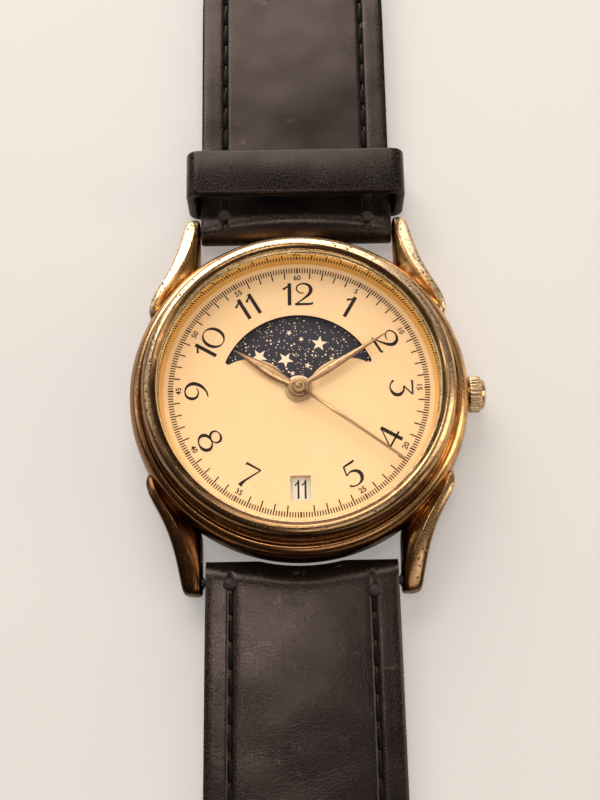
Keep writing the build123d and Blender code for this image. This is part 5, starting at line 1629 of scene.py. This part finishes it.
# %% Carrying an outline across
def columns_across(columns, edge_share):
    """Shares of the half width from -1 to 1, closer together at the edges and over the stitch lines."""
    right = [edge_share * i / columns for i in range(1, columns + 1)] + [0.98, 0.994, 1.0]
    if columns > 10:
        right = sorted([t for t in right if not 0.685 < t < 0.795] + [0.69 + 0.0078 * i for i in range(14)])
    return [-t for t in reversed(right)] + [0.0] + right


def shaped(t, y, z, width, up, inset):
    """Where a point of the side outline goes: crowned, sunk at the stitches, softened at the cut edge, and
    bulged over the spring bar and against the case."""
    x = t * width
    lift = up * (crown_rise * (1 - t * t) - edge_drop)
    groove = up * groove_depth * math.exp(-((abs(x) - (width - row_in)) / 0.26) ** 2)
    softening = -inset if up > 0.5 else inset if up == 0 else 0.0
    bulge = clamp((z - 2.7) / 1.2) * clamp((24 - abs(y)) / 5)
    y_new = y + math.copysign(bulge * (0.75 * (1 - t * t) - 0.1), y)
    if -bar_y < y < 0:
        to_case = clamp(bar_y - roll_r - math.sqrt((case_r + 0.15) ** 2 - x * x), 0, 0.55)
        y_new += to_case * (bar_y + y) / roll_r
    return x, y_new, z + lift - groove + softening


def carried(outline, half, top_of, columns=20, edge=0.16):
    """Carries a side outline of (y, z) across the strap; top_of says how far a point is upper surface."""
    edge_share = 0.955
    across = columns_across(columns, edge_share)
    points = []
    for t in across:
        inset = max(0.0, (abs(t) - edge_share) / (1 - edge_share)) ** 2 * edge
        points += [shaped(t, y, z, half(y), top_of(y, z), inset) for y, z in outline]
    return points, tube_faces(len(across), len(outline))


print(len(columns_across(20, 0.955)), "columns across the outer leather")


# %% Side outline tools
def arc(cy, cz, r, start, end, steps):
    """Points of a circle in the YZ plane between two angles in degrees."""
    angles = [math.radians(start + (end - start) * i / steps) for i in range(steps + 1)]
    return [(cy + r * math.cos(a), cz + r * math.sin(a)) for a in angles]


def run(a, b, step=1.0):
    """Points from a towards b, b left out."""
    count = max(int(math.hypot(b[0] - a[0], b[1] - a[1]) / step), 1)
    return [(a[0] + (b[0] - a[0]) * i / count, a[1] + (b[1] - a[1]) * i / count) for i in range(count)]


def bore(cy, start, sweep, seam_y, seam_z):
    """The spring bar's bore, reached by the seam where the folded leather meets itself."""
    round_bar = arc(cy, bar_z, bore_r, start, start + sweep, 24)
    way_in = run((seam_y, seam_z), round_bar[0], 0.5)
    return way_in + round_bar + run(round_bar[-1], (seam_y, seam_z - 0.03), 0.5)


print("bore of", len(bore(bar_y, 2, 356, bar_y + 3.4, 1.99)), "points")

# %% Short half's outlines
short_top = under_z + strap_t
flap_z = under_z + lining_t
seam_y = bar_y + 3.4
ramp_y, fold_y = 84.4, 86.6
short_outline = (
    arc(bar_y, bar_z, roll_r, 270, 92, 22)
    + run((bar_y + 0.5, roll_top), (bar_y + 5.6, short_top + 0.03), 0.6)
    + run((bar_y + 5.6, short_top), (ramp_y, short_top))
    + run((ramp_y, short_top), (buckle_y - 0.5, 3.97), 0.6)
    + arc(buckle_y, bar_z, roll_r, 88, -90, 22)
    + run((buckle_y - 1, under_z), (fold_y, under_z))
    + bore(buckle_y, 182, 356, fold_y, 1.95)
    + run((86.0, flap_z), (seam_y, flap_z))
    + bore(bar_y, 2, 356, seam_y, 1.99)
    + [(seam_y - 0.05, under_z)]
    + run((bar_y + 2.6, under_z), (bar_y + 0.3, under_z))
)
lining_from, lining_to, lining_top = 22.1, 86.5, flap_z - 0.03
short_lining_outline = (
    run((lining_from, under_z), (lining_to, under_z), 1.5)
    + run((lining_to, under_z), (lining_to, lining_top))
    + run((lining_to, lining_top), (lining_from, lining_top), 1.5)
    + [(lining_from, lining_top)]
)
print("short half:", len(short_outline), "and", len(short_lining_outline), "points in its outlines")

# %% Long half's outlines
tip_steps = (123.5, 124.5, 125.5, 126.5, 127.4, 128.2, 128.9, 129.4, 129.8)
flat_to, fold_end = 122.5, 22.0
long_outline = (
    arc(-bar_y, bar_z, roll_r, -90, 88, 22)
    + [(y, long_top(y)) for y in (-bar_y - 0.5 - 0.8 * i for i in range(37))]
    + run((-48.8, strap_t), (-flat_to, strap_t))
    + [(-y, strap_t - 0.02 * i) for i, y in enumerate((*tip_steps, 129.99))]
    + [(-129.99, 1.05)] + [(-y, lining_t) for y in reversed(tip_steps)]
    + run((-flat_to, lining_t), (-lie_y, lining_t))
    + run((-lie_y, lining_t), (-fold_end, sag(-fold_end) + lining_t))
    + bore(-bar_y, 178, -356, -fold_end, sag(-fold_end) + lining_t - 0.01)
    + [(-fold_end + 0.05, sag(-fold_end) + 0.02)]
    + run((-21.3, sag(-21.3)), (-bar_y - 0.3, under_z))
)
low_z, high_z = 0.02, lining_t - 0.02
long_lining_outline = (
    run((-fold_end, sag(-fold_end)), (-lie_y, low_z)) + run((-lie_y, low_z), (-flat_to, low_z))
    + [(-y, low_z) for y in (*tip_steps, 129.97)]
    + [(-y, high_z) for y in (129.97, *reversed(tip_steps))]
    + run((-flat_to, high_z), (-lie_y, high_z)) + run((-lie_y, high_z), (-fold_end, sag(-fold_end) + high_z))
    + [(-fold_end, sag(-fold_end) + lining_t - 0.03)]
)
print("long half:", len(long_outline), "and", len(long_lining_outline), "points in its outlines")


# %% [markdown]
# ## Strap halves and their holes
# The four leathers are made from the outlines. The buckle's tongue passes through a slot in the short half,
# and the long half has seven round holes. Holes could be drawn as dark dots, but light falls through real
# ones and the tongue goes in. They are cut with a Boolean, the surest tool for a cut right through a closed
# shape, and the wear is marked after it, so that the holes' rims are rubbed too.

# %% Upper surfaces
def short_up(y, z):
    """How far a point of the short half's outline counts as upper surface, 0 to 1."""
    return clamp((z - 2.7) / 0.5) * clamp((y - bar_y + 0.9) / 1.2) * clamp((buckle_y - 1 - y) / 3)


def long_up(y, z):
    """The same for the long half, whose top is higher by the bar than on the table."""
    return clamp((z - 1.4 - 1.3 * (y > -21)) / 0.4) * clamp((-y - bar_y + 0.9) / 1.2)


def flat(y, z):
    return 0.0


def punched(obj, outlines):
    """Cuts flat outlines right through a strap and marks its wear."""
    mesh = mesh_of("holes", *joined(*[slab(outline, -2, 8) for outline in outlines]))
    merged(mesh, 1e-7)
    cutter = link(bpy.data.objects.new("holes", mesh))
    applied(obj, "BOOLEAN", operation="DIFFERENCE", object=cutter, solver="EXACT")
    bpy.data.objects.remove(cutter)
    mark_wear(obj.data, 0.8)


print("cutting tool ready")

# %% Short half
short_outer = carried(short_outline, strap_half, short_up)
short_leather = piece(
    "strap_short_leather", *short_outer, "short_strap", "leather", ("strap_short_outer",), wear=0
)
short_inner = carried(short_lining_outline, strap_half, flat, 8, 0.1)
piece("strap_short_backing", *short_inner, "short_strap", "lining", ("strap_short_lining",), wear=0.8)
slot_half, slot_from, slot_to = 1.2, 86.8, 92.5
tongue_slot = [(-slot_half, slot_from), (slot_half, slot_from), (slot_half, slot_to), (-slot_half, slot_to)]
punched(short_leather, [rounded(tongue_slot, 0.6, 4)])
print("short half:", len(short_leather.data.polygons), "faces")

# %% Long half
hole_r, hole_pitch, first_hole, hole_count = 0.85, 6.5, -84.0, 7
round_holes = [circle(hole_r, 32, 0.0, first_hole - hole_pitch * i) for i in range(hole_count)]
long_outer = carried(long_outline, long_half, long_up)
long_leather = piece(
    "strap_long_leather", *long_outer, "long_strap", "leather", ("strap_long_outer",), wear=0
)
punched(long_leather, round_holes)
long_inner = carried(long_lining_outline, long_half, flat, 8, 0.1)
long_backing = piece(
    "strap_long_backing", *long_inner, "long_strap", "lining", ("strap_long_lining",), wear=0
)
punched(long_backing, round_holes)
print("long half:", len(long_leather.data.polygons), "faces and", len(round_holes), "holes")


# %% [markdown]
# ## Stitching
# A black thread runs down both sides of both halves, sunk in its groove. A bump would look flat from the
# side, so each stitch is a round bar with round ends, a few dozen faces, copied along the row by the copies
# tree. No two hand guided stitches lie alike: each copy is a hair longer or shorter, off its line and
# turned.

# %% Stitch rows
def crowned(base, y):
    """The height of the groove's floor where the upper surface's base is given."""
    t = 1 - row_in / strap_half(y)
    return base + (crown_rise * (1 - t * t) - edge_drop) - groove_depth


def short_height(y):
    by_bar = clamp((bar_y + 5.6 - y) / 5.1) * (roll_top - short_top)
    return crowned(short_top + by_bar + max(y - ramp_y, 0) / 5.6 * 0.68, y)


def long_height(y):
    return crowned(long_top(y), y)


def capsule(length, radius, rings=6, sides=8):
    """A thread's short round bar along Y, with round ends."""
    points = []
    for i in range(rings + 1):
        a = -math.pi / 2 + math.pi * i / rings
        y = math.sin(a) * radius + (length / 2 - radius) * (1 if a > 0 else -1 if a < 0 else 0)
        r = max(math.cos(a) * radius, 0.01)
        points += [(x, y, z) for x, z in circle(r, sides)]
    return points, tube_faces(rings + 1, sides, flip_caps=True)


def stitch_rows(first, last, height, body, name, pitch=2.55):
    """Both rows of stitches of a strap half between two distances."""
    random.seed(5)
    places = []
    step = math.copysign(pitch, last - first)
    for side in (-1, 1):
        y = first + step / 2
        while abs(y) < abs(last):
            x = side * (strap_half(y) - row_in)
            lean = (strap_half(y + 1) - strap_half(y - 1)) / 2 * side
            tilt = math.atan2(height(y + 0.5) - height(y - 0.5), 1.0)
            turn = (tilt, 0, -lean + random.uniform(-0.05, 0.05))
            place = (x + random.uniform(-0.05, 0.05), y, height(y) + 0.02)
            places.append((place, turn, (1, random.uniform(0.92, 1.1), 0.8)))
            y += step
    copies(name, capsule(1.95, 0.34), places, body, "thread")
    return len(places)


stitches = stitch_rows(20.0, 85.5, short_height, "short_strap", "short_stitches")
stitches += stitch_rows(-19.6, -122.0, long_height, "long_strap", "long_stitches")
print(stitches, "stitches")


# %% [markdown]
# ## Knots and loose fibres
# Where a row ends by the lugs, the thread is melted into a small blob, and no two blobs are alike, so each
# is a ball with its points pushed in and out at random and then subdivided. The raw edges of the leather
# shed short fibres. Hair could grow them, but it doesn't reach the export as a mesh. Each is a spike of
# four faces, copied along the edge.

# %% Knots
def knot(x, y, z, seed, rings=7, sides=12):
    """A melted blob of thread."""
    random.seed(seed)
    points = []
    for i in range(rings + 1):
        a = -math.pi / 2 + math.pi * i / rings
        for k in range(sides):
            b = 2 * math.pi * k / sides
            r = 0.72 * (1 + random.uniform(-0.16, 0.16))
            wide, deep = r * 1.05 * math.cos(a), r * 0.9 * math.cos(a)
            points.append((x + wide * math.cos(b), y + deep * math.sin(b), z + 0.55 * r * math.sin(a)))
    return points, grid_faces(rings + 1, sides, False, True)


def knots(name, body, height, ends):
    """The two blobs of a strap half, left and right."""
    blobs = []
    for side, y in zip((-1, 1), ends):
        blobs.append(knot(side * (strap_half(y) - row_in + 0.1), y, height(y) + 0.28, 3 + int(abs(y))))
    applied(piece(name, *joined(*blobs), body, "knot", wear=0), "SUBSURF", levels=1, render_levels=1)


knots("long_knots", "long_strap", long_height, (-19.0, -19.8))
knots("short_knots", "short_strap", short_height, (19.8, 19.4))
print("four knots")


# %% Loose fibres
def fibres(name, first, last, height, body, count):
    """Short loose fibres along both cut edges."""
    random.seed(17)
    places = []
    for _ in range(count):
        side, y = random.choice((-1, 1)), random.uniform(first, last)
        outward = -side * math.pi / 2
        turn = (random.uniform(-0.7, 0.7), random.uniform(-0.5, 0.5), outward + random.uniform(-0.9, 0.9))
        size = random.uniform(0.5, 1.0) ** 2
        place = (side * (strap_half(y) - 0.06), y, height(y) - random.uniform(0.25, 1.3))
        places.append((place, turn, (1, size, 1)))
    spike_points = [(-0.035, -0.1, -0.035), (0.035, -0.1, -0.035), (0, -0.1, 0.04), (0, 0.34, 0)]
    spike_faces = [(0, 2, 1), (0, 1, 3), (1, 2, 3), (2, 0, 3)]
    copies(name, (spike_points, spike_faces), places, body, "thread", smooth=False)
    return count


loose = fibres("long_fibres", -22.0, -116.0, long_height, "long_strap", 900)
loose += fibres("short_fibres", 27.0, 78.0, short_height, "short_strap", 260)
print(loose, "fibres")


# %% [markdown]
# ## Keepers and buckle
# Two leather loops hold the strap's free end: one slides, and one is sewn in by the buckle. A bent box
# would show square corners, so a flat section with soft edges is swept round a rounded rectangle. Its outer
# face swells a little in the middle, as a folded strip does. The buckle's frame, bar and tongue are right
# as solids and only get softer edges: the frame a wide bevel, because it is cast, and the bar a small one.

# %% Keepers
def keeper(name, cad_node, half, y, body):
    """A leather loop: a thin strip swept round a rounded rectangle, with soft edges."""
    low, high = reach(cad_node, LOW, Z), reach(cad_node, HIGH, Z)
    thick, wide, swell = 0.5, 2.5, 0.06
    side, under, over = half + 1.0, low + 0.45, high - 0.55
    path = rounded([(-side, under), (side, under), (side, over), (-side, over)], 1.0, 7)
    section = rounded([(-wide, -thick), (wide, -thick), (wide, thick), (-wide, thick)], 0.3, 4)
    points = []
    for i, p in enumerate(path):
        along = (path[(i + 1) % len(path)] - path[i - 1]).normalized()
        outward = Vector((along.y, -along.x))
        for across, out in section:
            rise = swell * (1 - (across / wide) ** 2) if out > 0 else 0
            q = p + outward * (out + rise - 0.05)
            points.append((q.x, y + across, max(q.y, low)))
    faces = grid_faces(len(path), len(section), True, True)
    return piece(name, points, faces, body, "keeper", (cad_node,), wear=0.5)


for name, cad_node, half, body in (
    ("floating_loop", "floating_keeper", lug_half, "floating_keeper"),
    ("fixed_loop", "fixed_keeper", end_half, "short_strap"),
):
    keeper(name, cad_node, half, middle(cad_node, Y), body)
print("keepers at", middle("floating_keeper", Y), "and", middle("fixed_keeper", Y))

# %% Buckle
bevels = {"buckle_frame": (0.28, 3), "buckle_bar": (0.1, 2), "buckle_tongue": (0.2, 3)}
for cad_node, (width, segments) in bevels.items():
    softened(cad_node, width, "buckle", segments)
print("buckle", reach("buckle_frame", HIGH, Y) - reach("buckle_frame", LOW, Y), "mm long")


# %% [markdown]
# ## Finishes of the CAD nodes that stay
# The movement, the dial plate, the discs and the gaskets keep their solids, which have the right form and
# are mostly out of sight. A node's mesh is never changed. Only its material slots are filled, by name, from
# the finishes above.

# %% CAD node finishes
bars = [f"spring_bar_{hour}_" for hour in (12, 6)]
finishes = {
    "dial": ["dial"],
    "sky": ["moon_disc"],
    "date": ["date_ring"],
    "rubber": ["case_back_gasket", "crown_gasket"],
    "crown": ["crown_tube"],
    "brass": [
        "seconds_wheel", "third_wheel", "centre_wheel", "minute_wheel", "hour_wheel", "setting_wheel",
        "main_plate", "train_bridge",
    ],
    "dull": [bar + tip for bar in bars for tip in ("left_tip", "right_tip")],
    "steel": [bar + part for bar in bars for part in ("tube", "spring")] + [
        "cannon_pinion", "stem", "sliding_pinion", "setting_lever", "yoke", "stator", "coil_core",
        "movement_screws", "battery_clamp", "quartz_can", "moon_jumper", "battery",
    ],
    "plastic": ["fifth_wheel", "rotor", "date_driver", "date_jumper"],
    "holder": ["movement_holder"],
    "copper": ["coil_winding"],
    "board": ["circuit_board"],
}
for finish, names in finishes.items():
    for name in names:
        nodes[name].data.materials.clear()
        nodes[name].data.materials.append(mats[finish])
print(sum(len(names) for names in finishes.values()), "CAD nodes dressed")
